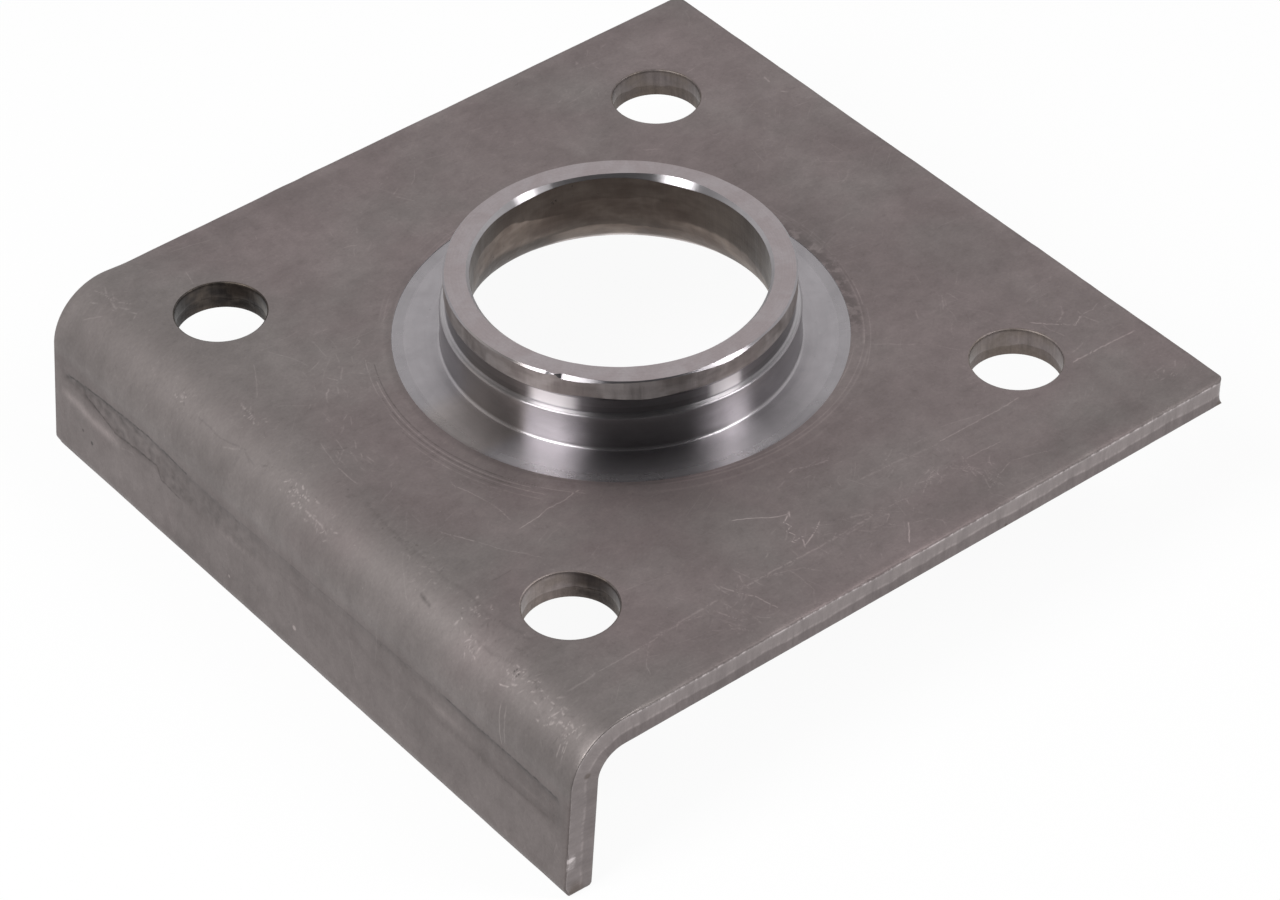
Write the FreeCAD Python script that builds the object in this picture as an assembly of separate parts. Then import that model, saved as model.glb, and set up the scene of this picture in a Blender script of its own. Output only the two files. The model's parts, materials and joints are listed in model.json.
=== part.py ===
import FreeCAD, Part

import math
import os

# Flange plate: one piece of 6 mm steel sheet, in millimetres.
# The sheet has four punched bolt holes on a square and one edge folded down into a lip.
# A collar is drawn up from the sheet near the middle of the square. Its outside is turned
# into a spigot and the sheet round its foot is faced, so that a mating part seats square.
# The origin is the centre of the bolt square on the underside, with +Z along the collar's
# axis. The lip hangs down along the -X side.

# Sheet and outline
SHEET_THICKNESS = 6.0
HOLE_SPACING_X = 100.0
HOLE_SPACING_Y = 100.0
MARGIN_LIP_SIDE = 21.5
MARGIN_FAR_SIDE = 24.8
MARGIN_RIGHT_SIDE = 26.9
MARGIN_LEFT_SIDE = 22.9
CORNER_RADIUS = 1.6
SHEAR_ROLLOVER = 0.9

# Fold and lip
BEND_INNER_RADIUS = 5.5
BEND_ANGLE = 85.5
LIP_DROP = 33.8
LIP_EDGE_TAPER = 1.3
LIP_TAPER_LENGTH = 2.3
LIP_EDGE_ROLLOVER = 1.3

# Punched bolt holes
HOLE_DIAMETER = 16.5
HOLE_ROLLOVER = 0.4
HOLE_ROLL_KNEE = 0.3

# Drawn collar, a little off the centre of the bolt square
COLLAR_OFFSET_X = 1.4
COLLAR_OFFSET_Y = 0.3
BORE_DIAMETER = 53.0
COLLAR_WALL = 5.5
COLLAR_HEIGHT = 14.3
FLARE_RADIUS = 13.0

# Turned surfaces of the collar
SPIGOT_HEIGHT = 6.9
NECK_STEP = 0.8
RELIEF_DEPTH = 0.3
RELIEF_HEIGHT = 3.6
RELIEF_RUNOUT = 0.5
INNER_CHAMFER = 0.9
OUTER_CHAMFER = 0.6
SPIGOT_EDGE_BREAK = 0.25
FOOT_FILLET = 0.35
FACED_RING_WIDTH = 8.6
FACING_DEPTH = 0.15

# How far a cutting shape runs past the surface that it cuts
CLEAR = 1.0

top_z = SHEET_THICKNESS
lip_face_x = -HOLE_SPACING_X / 2 - MARGIN_LIP_SIDE
far_x = HOLE_SPACING_X / 2 + MARGIN_FAR_SIDE
right_y = -HOLE_SPACING_Y / 2 - MARGIN_RIGHT_SIDE
left_y = HOLE_SPACING_Y / 2 + MARGIN_LEFT_SIDE
bore_r = BORE_DIAMETER / 2
spigot_r = bore_r + COLLAR_WALL
neck_r = spigot_r - NECK_STEP
relief_r = neck_r - RELIEF_DEPTH
faced_r = spigot_r + FACED_RING_WIDTH
faced_z = top_z - FACING_DEPTH
shoulder_z = top_z + SPIGOT_HEIGHT
collar_top_z = top_z + COLLAR_HEIGHT


def point(x, z):
    """A point of a section drawn in the XZ plane."""
    return FreeCAD.Vector(x, 0, z)


def line(start, end):
    return Part.LineSegment(start, end).toShape()


def arc(centre, radius, start_deg, end_deg):
    """An arc in the XZ plane, from one angle above +X to another."""
    def at(degrees):
        turn = math.radians(degrees)
        return centre + point(radius * math.cos(turn), radius * math.sin(turn))

    middle = (start_deg + end_deg) / 2
    return Part.Arc(at(start_deg), at(middle), at(end_deg)).toShape()


def ends(edge):
    return edge.valueAt(edge.FirstParameter), edge.valueAt(edge.LastParameter)


def closed_face(edges):
    """The face inside a loop of edges that follow one another."""
    return Part.Face(Part.Wire(edges))


def polygon_face(corners):
    return closed_face([line(a, b) for a, b in zip(corners, corners[1:] + corners[:1])])


def turned(face, x, y):
    """The solid that a section makes when it turns about an upright axis at x, y."""
    solid = face.revolve(FreeCAD.Vector(0, 0, 0), FreeCAD.Vector(0, 0, 1), 360)
    solid.translate(FreeCAD.Vector(x, y, 0))
    return solid


def folded_sheet():
    """The sheet with its lip, drawn as a section and run along the fold."""
    outer_radius = BEND_INNER_RADIUS + SHEET_THICKNESS
    centre = point(lip_face_x + outer_radius, -BEND_INNER_RADIUS)
    end_deg = 90 + BEND_ANGLE
    outer_arc = arc(centre, outer_radius, 90, end_deg)
    inner_arc = arc(centre, BEND_INNER_RADIUS, end_deg, 90)
    turn = math.radians(end_deg)
    down_lip = point(-math.sin(turn), math.cos(turn))
    into_lip = point(-math.cos(turn), -math.sin(turn))
    fold_start, fold_end = ends(outer_arc)
    inner_end, inner_start = ends(inner_arc)
    lip_length = (fold_end.z - (top_z - LIP_DROP)) / -down_lip.z
    taper_start = fold_end + down_lip * (lip_length - LIP_TAPER_LENGTH)
    lip_outer = fold_end + down_lip * lip_length + into_lip * LIP_EDGE_TAPER
    lip_inner = inner_end + down_lip * lip_length
    section = closed_face([
        line(point(far_x, top_z), fold_start),
        outer_arc,
        line(fold_end, taper_start),
        line(taper_start, lip_outer),
        line(lip_outer, lip_inner),
        line(lip_inner, inner_end),
        inner_arc,
        line(inner_start, point(far_x, 0)),
        line(point(far_x, 0), point(far_x, top_z)),
    ])
    section.translate(FreeCAD.Vector(0, right_y, 0))
    sheet = section.extrude(FreeCAD.Vector(0, left_y - right_y, 0))
    inner_edge = [
        edge for edge in sheet.Edges
        if all(abs(v.X - lip_inner.x) < 1e-6 and abs(v.Z - lip_inner.z) < 1e-6 for v in edge.Vertexes)
    ]
    return sheet.makeFillet(LIP_EDGE_ROLLOVER, inner_edge)


def round_far_corners(sheet):
    """The two free corners of the plate are rounded in plan."""
    upright = [
        edge for edge in sheet.Edges
        if all(abs(v.X - far_x) < 1e-6 for v in edge.Vertexes)
        and abs(edge.Vertexes[0].Z - edge.Vertexes[-1].Z) > SHEET_THICKNESS / 2
    ]
    return sheet.makeFillet(CORNER_RADIUS, upright)


def lies_on_rim(edge):
    """True for an edge between the sheet's upper side and its sheared outline."""
    middle = edge.valueAt((edge.FirstParameter + edge.LastParameter) / 2)
    on_side = abs(middle.y - right_y) < 1e-6 or abs(middle.y - left_y) < 1e-6
    if middle.z > top_z - 1e-6:
        return on_side or middle.x > far_x - CORNER_RADIUS
    outer_radius = BEND_INNER_RADIUS + SHEET_THICKNESS
    centre = point(lip_face_x + outer_radius, -BEND_INNER_RADIUS)
    reach = math.hypot(middle.x - centre.x, middle.z - centre.z)
    on_fold = abs(reach - outer_radius) < 1e-6 and middle.x < centre.x
    turn = math.radians(90 + BEND_ANGLE)
    off_face = (middle.x - centre.x) * math.cos(turn) + (middle.z - centre.z) * math.sin(turn)
    on_lip = abs(off_face - outer_radius) < 1e-6 and middle.z < centre.z
    return on_side and (on_fold or on_lip)


def roll_sheared_rim(sheet):
    """The shear draws the upper edge of the outline down into a small round."""
    return sheet.makeFillet(SHEAR_ROLLOVER, [edge for edge in sheet.Edges if lies_on_rim(edge)])


def collar_blank():
    """The turned outside of the collar, solid down to the underside."""
    relief_top_z = shoulder_z + RELIEF_HEIGHT
    outside = polygon_face([
        point(0, 0),
        point(spigot_r, 0),
        point(spigot_r, shoulder_z - SPIGOT_EDGE_BREAK),
        point(spigot_r - SPIGOT_EDGE_BREAK, shoulder_z),
        point(relief_r, shoulder_z),
        point(relief_r, relief_top_z - RELIEF_RUNOUT),
        point(neck_r, relief_top_z),
        point(neck_r, collar_top_z - OUTER_CHAMFER),
        point(neck_r - OUTER_CHAMFER, collar_top_z),
        point(0, collar_top_z),
    ])
    return turned(outside, COLLAR_OFFSET_X, COLLAR_OFFSET_Y)


def facing_cut():
    """The ring faced on the sheet round the collar's foot, with a small fillet at the foot."""
    foot = arc(point(spigot_r + FOOT_FILLET, faced_z + FOOT_FILLET), FOOT_FILLET, 180, 270)
    foot_top, foot_out = ends(foot)
    above = top_z + CLEAR
    ring = closed_face([
        foot,
        line(foot_out, point(faced_r, faced_z)),
        line(point(faced_r, faced_z), point(faced_r, above)),
        line(point(faced_r, above), point(spigot_r, above)),
        line(point(spigot_r, above), foot_top),
    ])
    return turned(ring, COLLAR_OFFSET_X, COLLAR_OFFSET_Y)


def bore_cut():
    """The bore, chamfered at its mouth and flared where the sheet turns up into the collar."""
    flare = arc(point(bore_r + FLARE_RADIUS, FLARE_RADIUS), FLARE_RADIUS, 270, 180)
    flare_foot, flare_top = ends(flare)
    mouth_z = collar_top_z - INNER_CHAMFER
    corners = [
        flare_top,
        point(bore_r, mouth_z),
        point(bore_r + INNER_CHAMFER, collar_top_z),
        point(bore_r + INNER_CHAMFER, collar_top_z + CLEAR),
        point(0, collar_top_z + CLEAR),
        point(0, -CLEAR),
        point(bore_r + FLARE_RADIUS, -CLEAR),
        flare_foot,
    ]
    opening = closed_face([flare] + [line(a, b) for a, b in zip(corners, corners[1:])])
    return turned(opening, COLLAR_OFFSET_X, COLLAR_OFFSET_Y)


def punched_hole(x, y):
    """A punched hole, rolled in at the top by the punch and straight below.

    The roll is two short cones, which come near a round of the rollover's radius.
    """
    radius = HOLE_DIAMETER / 2
    knee = HOLE_ROLLOVER * HOLE_ROLL_KNEE
    section = polygon_face([
        point(0, -CLEAR),
        point(radius, -CLEAR),
        point(radius, top_z - HOLE_ROLLOVER),
        point(radius + knee, top_z - knee),
        point(radius + HOLE_ROLLOVER, top_z),
        point(radius + HOLE_ROLLOVER, top_z + CLEAR),
        point(0, top_z + CLEAR),
    ])
    return turned(section, x, y)


def flange_plate():
    """The finished piece, made in the order in which the real one is."""
    sheet = roll_sheared_rim(round_far_corners(folded_sheet()))
    plate = sheet.fuse(collar_blank()).cut(facing_cut()).cut(bore_cut())
    for x_side in (-1, 1):
        for y_side in (-1, 1):
            plate = plate.cut(punched_hole(x_side * HOLE_SPACING_X / 2, y_side * HOLE_SPACING_Y / 2))
    return plate.removeSplitter().Solids[0]


os.makedirs("parts", exist_ok=True)
plate = flange_plate()
plate.exportStep("parts/flange_plate.step")
print("flange_plate", "valid", plate.isValid(), "faces", len(plate.Faces), "volume", round(plate.Volume, 1))
print("box", plate.BoundBox)
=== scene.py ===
"""A steel flange plate: bent sheet with punched holes, a folded lip and a turned collar.

Sizes in the mesh code are millimetres, and the finished mesh is scaled to metres.
The sheet is drawn flat, as points (s, y, depth), and then folded over the bend.
"""
import json
import math

import bpy
import numpy as np
from mathutils import Matrix, Vector
from mathutils.geometry import delaunay_2d_cdt
from mathutils.kdtree import KDTree


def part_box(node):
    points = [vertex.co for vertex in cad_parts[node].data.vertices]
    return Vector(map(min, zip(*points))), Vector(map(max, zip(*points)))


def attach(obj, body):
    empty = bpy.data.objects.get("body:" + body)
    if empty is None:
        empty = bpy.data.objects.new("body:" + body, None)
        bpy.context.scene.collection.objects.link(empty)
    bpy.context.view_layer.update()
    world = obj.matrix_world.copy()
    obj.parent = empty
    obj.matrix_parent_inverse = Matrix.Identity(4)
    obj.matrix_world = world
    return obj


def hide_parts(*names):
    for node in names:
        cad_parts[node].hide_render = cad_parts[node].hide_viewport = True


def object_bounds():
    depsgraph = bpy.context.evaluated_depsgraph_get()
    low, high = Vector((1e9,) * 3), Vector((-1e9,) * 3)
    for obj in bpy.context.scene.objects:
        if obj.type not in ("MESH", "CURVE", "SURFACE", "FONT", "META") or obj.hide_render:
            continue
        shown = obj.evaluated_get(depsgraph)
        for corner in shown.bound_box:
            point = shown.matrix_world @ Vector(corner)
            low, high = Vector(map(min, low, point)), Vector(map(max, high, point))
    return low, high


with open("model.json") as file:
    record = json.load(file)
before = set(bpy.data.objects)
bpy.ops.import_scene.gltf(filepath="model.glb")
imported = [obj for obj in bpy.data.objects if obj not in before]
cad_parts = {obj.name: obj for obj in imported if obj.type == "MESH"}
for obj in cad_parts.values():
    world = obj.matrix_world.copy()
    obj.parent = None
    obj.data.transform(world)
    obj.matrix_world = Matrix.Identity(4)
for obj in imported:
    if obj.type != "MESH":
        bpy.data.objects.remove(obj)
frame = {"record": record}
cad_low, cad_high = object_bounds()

MM = 0.001

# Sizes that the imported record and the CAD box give
mounts = {mount["name"]: mount for mount in frame["record"]["mounts"]}
HOLE_RADIUS = mounts["bolts"]["dims"]["hole_r_mm"]
HOLE_SPACING = mounts["bolts"]["dims"]["spacing_x_mm"]
BORE_RADIUS = mounts["bore"]["dims"]["r_mm"]
SPIGOT_RADIUS = mounts["spigot"]["dims"]["r_mm"]
COLLAR_X = mounts["bore"]["pos_m"][0] / MM
COLLAR_Y = mounts["bore"]["pos_m"][1] / MM
box_low, box_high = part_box("flange_plate")
FAR_X = box_high[0] / MM
RIGHT_Y = box_low[1] / MM
LEFT_Y = box_high[1] / MM
LIP_X = box_low[0] / MM
INSIDE_BOX = 0.005
COLLAR_TOP = box_high[2] / MM

# Sheet, fold and lip
THICKNESS = 6.0
BEND_INNER = 5.5
BEND_OUTER = BEND_INNER + THICKNESS
BEND_MIDDLE = BEND_INNER + THICKNESS / 2
BEND_ANGLE = math.radians(85.5)
BEND_X = -60.0
LIP_LENGTH = 23.27
BEND_LENGTH = BEND_ANGLE * BEND_MIDDLE
LIP_END = BEND_X - BEND_LENGTH - LIP_LENGTH
# Corners of the outline: near end of the lip, right, far left and left end of the lip
CORNER_RADII = (0.6, 1.7, 1.9, 0.7)

# The outline is a little out of square past this distance from the middle
SQUARE_WITHIN = 62.0

# Collar: the faced ring, the shoulder above the spigot, the relief above it, the neck and the bore
RING_RADIUS = 40.6
RING_Z = 5.85
SHOULDER_Z = 12.9
RELIEF_RADIUS = 30.9
RELIEF_TOP = 16.0
RELIEF_RUNOUT = 0.5
NECK_RADIUS = 31.2
FLARE_RADIUS = 13.0
FOOT_FILLET = 0.6
SHOULDER_ROUND = 0.38

# How far the meshed rows of the collar and of the holes reach out over the sheet's two sides
RING_MARGIN, FLARE_MARGIN = 2.0, 1.5
HOLE_MARGIN_TOP, HOLE_MARGIN_BOTTOM = 1.1, 0.45

MILL, SHEARED, PUNCHED, TURNED, DRAWN, FACED = range(6)


def ragged(places, step, seed, length=None):
    """Random values, in straight runs between knots one step apart; periodic if a length is given."""
    noise = np.random.default_rng(seed)
    if length is None:
        knots = np.arange(places.min() - step, places.max() + 2 * step, step)
        return np.interp(places, knots, noise.normal(size=len(knots)))
    count = max(3, round(length / step))
    values = noise.normal(size=count)
    return np.interp(places, np.linspace(0, length, count + 1), np.append(values, values[0]))


def waves(x, y, size, seed, count=24):
    """A smooth random field over a plane, about -1 to 1, with bumps of the given size."""
    noise = np.random.default_rng(seed)
    total = np.zeros(np.shape(x))
    for _ in range(count):
        turn = noise.uniform(0, 2 * math.pi)
        pace = 2 * math.pi / (size * noise.uniform(0.7, 1.8))
        phase = noise.uniform(0, 2 * math.pi)
        total += np.cos(pace * (math.cos(turn) * x + math.sin(turn) * y) + phase)
    return total * math.sqrt(2 / count) * 0.7


def bell(values, centre, width):
    return np.exp(-((values - centre) / width) ** 2)


def smooth(values, low, high):
    share = np.clip((values - low) / (high - low), 0, 1)
    return share * share * (3 - 2 * share)


def fold(sheet):
    """Where points (s, y, depth) of the flat sheet go once its edge is bent down."""
    s, y, depth = sheet.T
    run = np.maximum(BEND_X - s, 0.0)
    angle = np.minimum(run / BEND_MIDDLE, BEND_ANGLE)
    past = np.maximum(run - BEND_LENGTH, 0.0)
    reach = BEND_OUTER - depth
    x = np.maximum(s, BEND_X) - reach * np.sin(angle) - past * np.cos(angle)
    z = reach * np.cos(angle) - BEND_INNER - past * np.sin(angle)
    return np.column_stack([np.maximum(x, LIP_X + INSIDE_BOX), y, z])


def out_of_square(flat):
    """The flat outline as it was really cut: its sides lean by a fraction of a degree."""
    s, y = flat.T
    along_s = (FAR_X - s) / (FAR_X - LIP_END)
    along_y = (y - RIGHT_Y) / (LEFT_Y - RIGHT_Y)
    near = np.clip((-SQUARE_WITHIN - y) / (-SQUARE_WITHIN - RIGHT_Y), 0, 1)
    left = np.clip((y - SQUARE_WITHIN) / (LEFT_Y - SQUARE_WITHIN), 0, 1)
    far = np.clip((s - SQUARE_WITHIN) / (FAR_X - SQUARE_WITHIN), 0, 1)
    shift_y = near * (0.02 + 0.33 * along_s) - left * (0.02 + 0.15 * (1 - along_s))
    shift_x = -far * (0.02 + 0.72 * along_y)
    return np.column_stack([s + shift_x, y + shift_y])


class Shell:
    """One closed mesh as it grows: vertices, faces, and what the materials read at each vertex."""

    def __init__(self):
        self.places = []
        self.sheet = []
        self.profile = []
        self.wear = []
        self.mark = []
        self.count = 0
        self.faces = []
        self.kinds = []

    def add(self, places, sheet=None, profile=0.0, wear=0.0, mark=0.0):
        number = len(places)
        self.places.append(places)
        self.sheet.append(places * [1, 1, -1] + [0, 0, THICKNESS] if sheet is None else sheet)
        self.profile.append(np.broadcast_to(profile, number))
        self.wear.append(np.broadcast_to(wear, number))
        self.mark.append(np.broadcast_to(mark, number))
        self.count += number
        return np.arange(self.count - number, self.count)

    def strip(self, first, second, kind):
        """Faces between two closed rows, which look to the left of the way that the rows run."""
        ahead_first, ahead_second = np.roll(first, -1), np.roll(second, -1)
        self.faces += np.column_stack([first, ahead_first, ahead_second, second]).tolist()
        self.kinds += [kind] * len(first)

    def skin(self, loops, holes, inside, mark, depth, lift, kind):
        """Triangles that fill the flat sheet between closed rows, on its upper or lower side."""
        ids = np.concatenate([row for row, _ in loops])
        flat = np.concatenate([points for _, points in loops])
        edges = []
        start = 0
        for row, _ in loops:
            around = np.arange(start, start + len(row))
            edges += np.column_stack([around, np.roll(around, -1)]).tolist()
            start += len(row)
        sheet = np.column_stack([inside, np.full(len(inside), depth)])
        places = sheet.copy()
        places[:, :2] = out_of_square(inside)
        places[:, 2] += lift
        ids = np.concatenate([ids, self.add(fold(places), sheet, mark=mark)])
        flat = np.concatenate([flat, inside])
        result = delaunay_2d_cdt([Vector(p) for p in flat], edges, [], 1, 1e-7)
        corners, triangles, origin = result[0], result[2], result[3]
        back = np.array([ids[which[0]] if which else -1 for which in origin])
        corners = np.array([tuple(p) for p in corners])
        triangles = np.array(triangles)
        middle = corners[triangles].mean(axis=1)
        keep = np.ones(len(triangles), bool)
        for x, y, radius in holes:
            keep &= np.hypot(middle[:, 0] - x, middle[:, 1] - y) > radius
        triangles = back[triangles[keep]]
        if depth:
            triangles = triangles[:, ::-1]
        self.faces += triangles.tolist()
        self.kinds += [kind] * len(triangles)


# Section of a sheared edge, and of the lip's lower edge, as inset and depth from the upper side
SHEARED_EDGE = (
    (2.2, 0.0), (1.7, 0.01), (1.2, 0.05), (0.8, 0.11), (0.45, 0.19), (0.2, 0.31), (0.06, 0.48),
    (0.0, 0.7), (0.01, 0.85), (0.03, 1.6), (0.05, 2.4), (0.06, 3.3), (0.08, 4.2), (0.05, 5.0),
    (0.03, 5.5), (0.05, 5.88), (0.14, 6.0),
)
LIP_EDGE = (
    (3.4, 0.0), (2.9, 0.0), (2.3, 0.03), (1.7, 0.34), (1.15, 0.66), (0.6, 0.97), (0.22, 1.19),
    (0.0, 1.34), (0.03, 1.6), (0.02, 2.2), (0.03, 3.0), (0.05, 3.8), (0.1, 4.5), (0.18, 4.95),
    (0.42, 5.5), (0.85, 5.86), (1.5, 6.0),
)
BURR_ROW = 7

# The slant of the lip's lower edge, which also cuts both ends of the lip
SLANT = np.array(LIP_EDGE[BURR_ROW::-1])

SIDE_STEPS = 212
CORNER_STEPS = 8


def outline(inset, lip_inset):
    """One closed row round the flat sheet, anticlockwise, and how much of it is lip edge."""
    x0, x1 = LIP_END + lip_inset, FAR_X - inset
    y0, y1 = RIGHT_Y + inset, LEFT_Y - inset
    corners = ((x0, y0, 180), (x1, y0, 270), (x1, y1, 0), (x0, y1, 90))
    turned = np.arange(CORNER_STEPS + 1) / CORNER_STEPS
    arcs = []
    for (x, y, start), full in zip(corners, CORNER_RADII):
        radius = max(full - max(inset, lip_inset), 0.12)
        centre = np.array([x + (radius if x == x0 else -radius), y + (radius if y == y0 else -radius)])
        turn = np.radians(start + 90 * turned)
        arcs.append(centre + radius * np.column_stack([np.cos(turn), np.sin(turn)]))
    points, on_lip = [], []
    corner_lip = (1 - turned, 0 * turned, 0 * turned, turned)
    shares = np.arange(1, SIDE_STEPS)[:, None] / SIDE_STEPS
    for side in range(4):
        arc, following = arcs[side], arcs[(side + 1) % 4]
        points += [arc, arc[-1] + (following[0] - arc[-1]) * shares]
        on_lip += [corner_lip[side], np.full(SIDE_STEPS - 1, float(side == 3))]
    return np.concatenate(points), np.concatenate(on_lip)


def rim(shell):
    """The sheared edge round the sheet. Returns its upper and lower rows with their flat points."""
    outer, on_lip = outline(0.0, 0.0)
    steps = np.linalg.norm(np.roll(outer, -1, axis=0) - outer, axis=1)
    run, length = np.append(0.0, np.cumsum(steps)[:-1]), steps.sum()
    blend = on_lip * on_lip * (3 - 2 * on_lip)
    # The rollover is tighter on the fold and on the lip than on the plate
    tight = smooth(outer[:, 0], -54, -61) * (1 - bell(on_lip, 1, 0.3))
    rows, flats = [], []
    for k, ((inset, depth), (lip_inset, lip_depth)) in enumerate(zip(SHEARED_EDGE, LIP_EDGE)):
        rough = 0.0
        if k > BURR_ROW:
            rough = 0.02 * np.abs(ragged(run, 1.5, 20 + k, length))
        flat, _ = outline(inset, lip_inset)
        if 0 < k < BURR_ROW:
            flat[:, 1] += (outer[:, 1] - flat[:, 1]) * 0.8 * tight
        inward = np.roll(flat, -1, axis=0) - np.roll(flat, 1, axis=0)
        inward = np.column_stack([-inward[:, 1], inward[:, 0]])
        inward /= np.linalg.norm(inward, axis=1)[:, None]
        flat = flat + inward * np.reshape(rough, (-1, 1))
        tight_depth = np.interp(depth, (0.0, 0.7, 2.4, 6.0), (0.0, 0.3, 2.4, 6.0))
        side_depth = depth + (tight_depth - depth) * tight
        slant = np.interp(flat[:, 0] - LIP_END, SLANT[:, 0], SLANT[:, 1])
        side_depth = slant + side_depth * (1 - slant / THICKNESS)
        depths = side_depth * (1 - blend) + lip_depth * blend
        if 0 < k < len(SHEARED_EDGE) - 1:
            drift = 0.08 * ragged(run, 9.0, 11, length) + 0.035 * ragged(run, 2.3, 12, length)
            depths = depths + drift * math.exp(-((k - BURR_ROW) / 2.2) ** 2) * (1 - 0.7 * blend)
        sheet = np.column_stack([flat, np.clip(depths, 0, THICKNESS)])
        # One nick in the burr of the lip's near end, and a painted highlight along the burr, partly bright
        # worn metal, stronger on the plate than on the lip
        nick = bell(flat[:, 0], -88.0, 1.5) * (flat[:, 1] < RIGHT_Y + 2.0) * (1 - blend)
        wear = 1.0 if k == BURR_ROW else 0.3 if abs(k - BURR_ROW) == 1 else 0.0
        wear = wear * (1 - 0.65 * smooth(flat[:, 0], -67.5, -69.5))
        wear = np.maximum(wear, nick * (abs(k - BURR_ROW) < 3))
        sheet[:, 2] += 0.25 * nick * (abs(k - BURR_ROW) < 3)
        places = sheet.copy()
        places[:, :2] = out_of_square(flat)
        rows.append(shell.add(fold(places), sheet, wear=wear))
        flats.append(flat)
    for k in range(len(rows) - 1):
        shell.strip(rows[k + 1], rows[k], MILL if k < BURR_ROW else SHEARED)
    return (rows[0], flats[0]), (rows[-1], flats[-1])


HOLE_STEPS = 120


def round_steps(count):
    return np.arange(count) * 2 * math.pi / count


def on_circle(x, y, radius, turn):
    return np.column_stack([x + radius * np.cos(turn), y + radius * np.sin(turn)])


def bolt_hole(shell, x, y, seed, glint_at):
    """A punched hole: rolled in at the top, sheared smooth, then torn a little wider."""
    count = HOLE_STEPS
    turn = round_steps(count)
    around = turn * HOLE_RADIUS
    length = 2 * math.pi * HOLE_RADIUS
    tear = 3.3 + 0.35 * ragged(around, 6.0, seed, length) + 0.15 * ragged(around, 1.6, seed + 1, length)
    section = [
        (HOLE_MARGIN_TOP, 0.0), (0.5, 0.01), (0.28, 0.04), (0.14, 0.1), (0.05, 0.2), (0.0, 0.4),
        (0.0, 0.9), (0.0, 1.6), (0.0, 2.4),
    ]
    rows = []
    # A painted glint on one side of the rim's rollover
    pale = bell(np.degrees(turn), glint_at, 34)
    for out, depth in section:
        rows.append((HOLE_RADIUS + out, np.full(count, depth), 0.5 * pale if 0.04 < out < 0.2 else 0.0))
    rows.append((HOLE_RADIUS, tear, 0.0))
    for share in (0.12, 0.35, 0.6, 0.85):
        rough = 0.035 * ragged(around, 1.1, seed + round(share * 100), length)
        rows.append((HOLE_RADIUS + 0.05 + 0.09 * share + rough, tear + (5.8 - tear) * share, 0.0))
    rows.append((HOLE_RADIUS + 0.2, np.full(count, 5.88), 0.0))
    rows.append((HOLE_RADIUS + HOLE_MARGIN_BOTTOM, np.full(count, THICKNESS), 0.0))
    made, flats = [], []
    for radius, depth, wear in rows:
        flats.append(on_circle(x, y, radius, turn))
        sheet = np.column_stack([flats[-1], depth])
        made.append(shell.add(fold(sheet), sheet, profile=depth - tear, wear=wear))
    for k in range(len(made) - 1):
        shell.strip(made[k], made[k + 1], MILL if k < 2 else PUNCHED)
    return (made[0], flats[0]), (made[-1], flats[-1])


# Which way the painted glint on each hole's rim looks, in degrees
HOLE_RIM_GLINT = (345, 25, 20, 141)
COLLAR_STEPS = 380


def straight(start, end, count, kind, wear=0.0):
    """Entries of a section along a straight line, without its end."""
    return [(start[0] + (end[0] - start[0]) * k, start[1] + (end[1] - start[1]) * k, kind, wear)
            for k in np.arange(count) / count]


def round_run(centre, radius, start, end, count, kind):
    """Entries of a section along an arc, without its end."""
    turns = [math.radians(start + (end - start) * k / count) for k in range(count)]
    return [(centre[0] + radius * math.cos(t), centre[1] + radius * math.sin(t), kind, 0.0)
            for t in turns]


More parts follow.
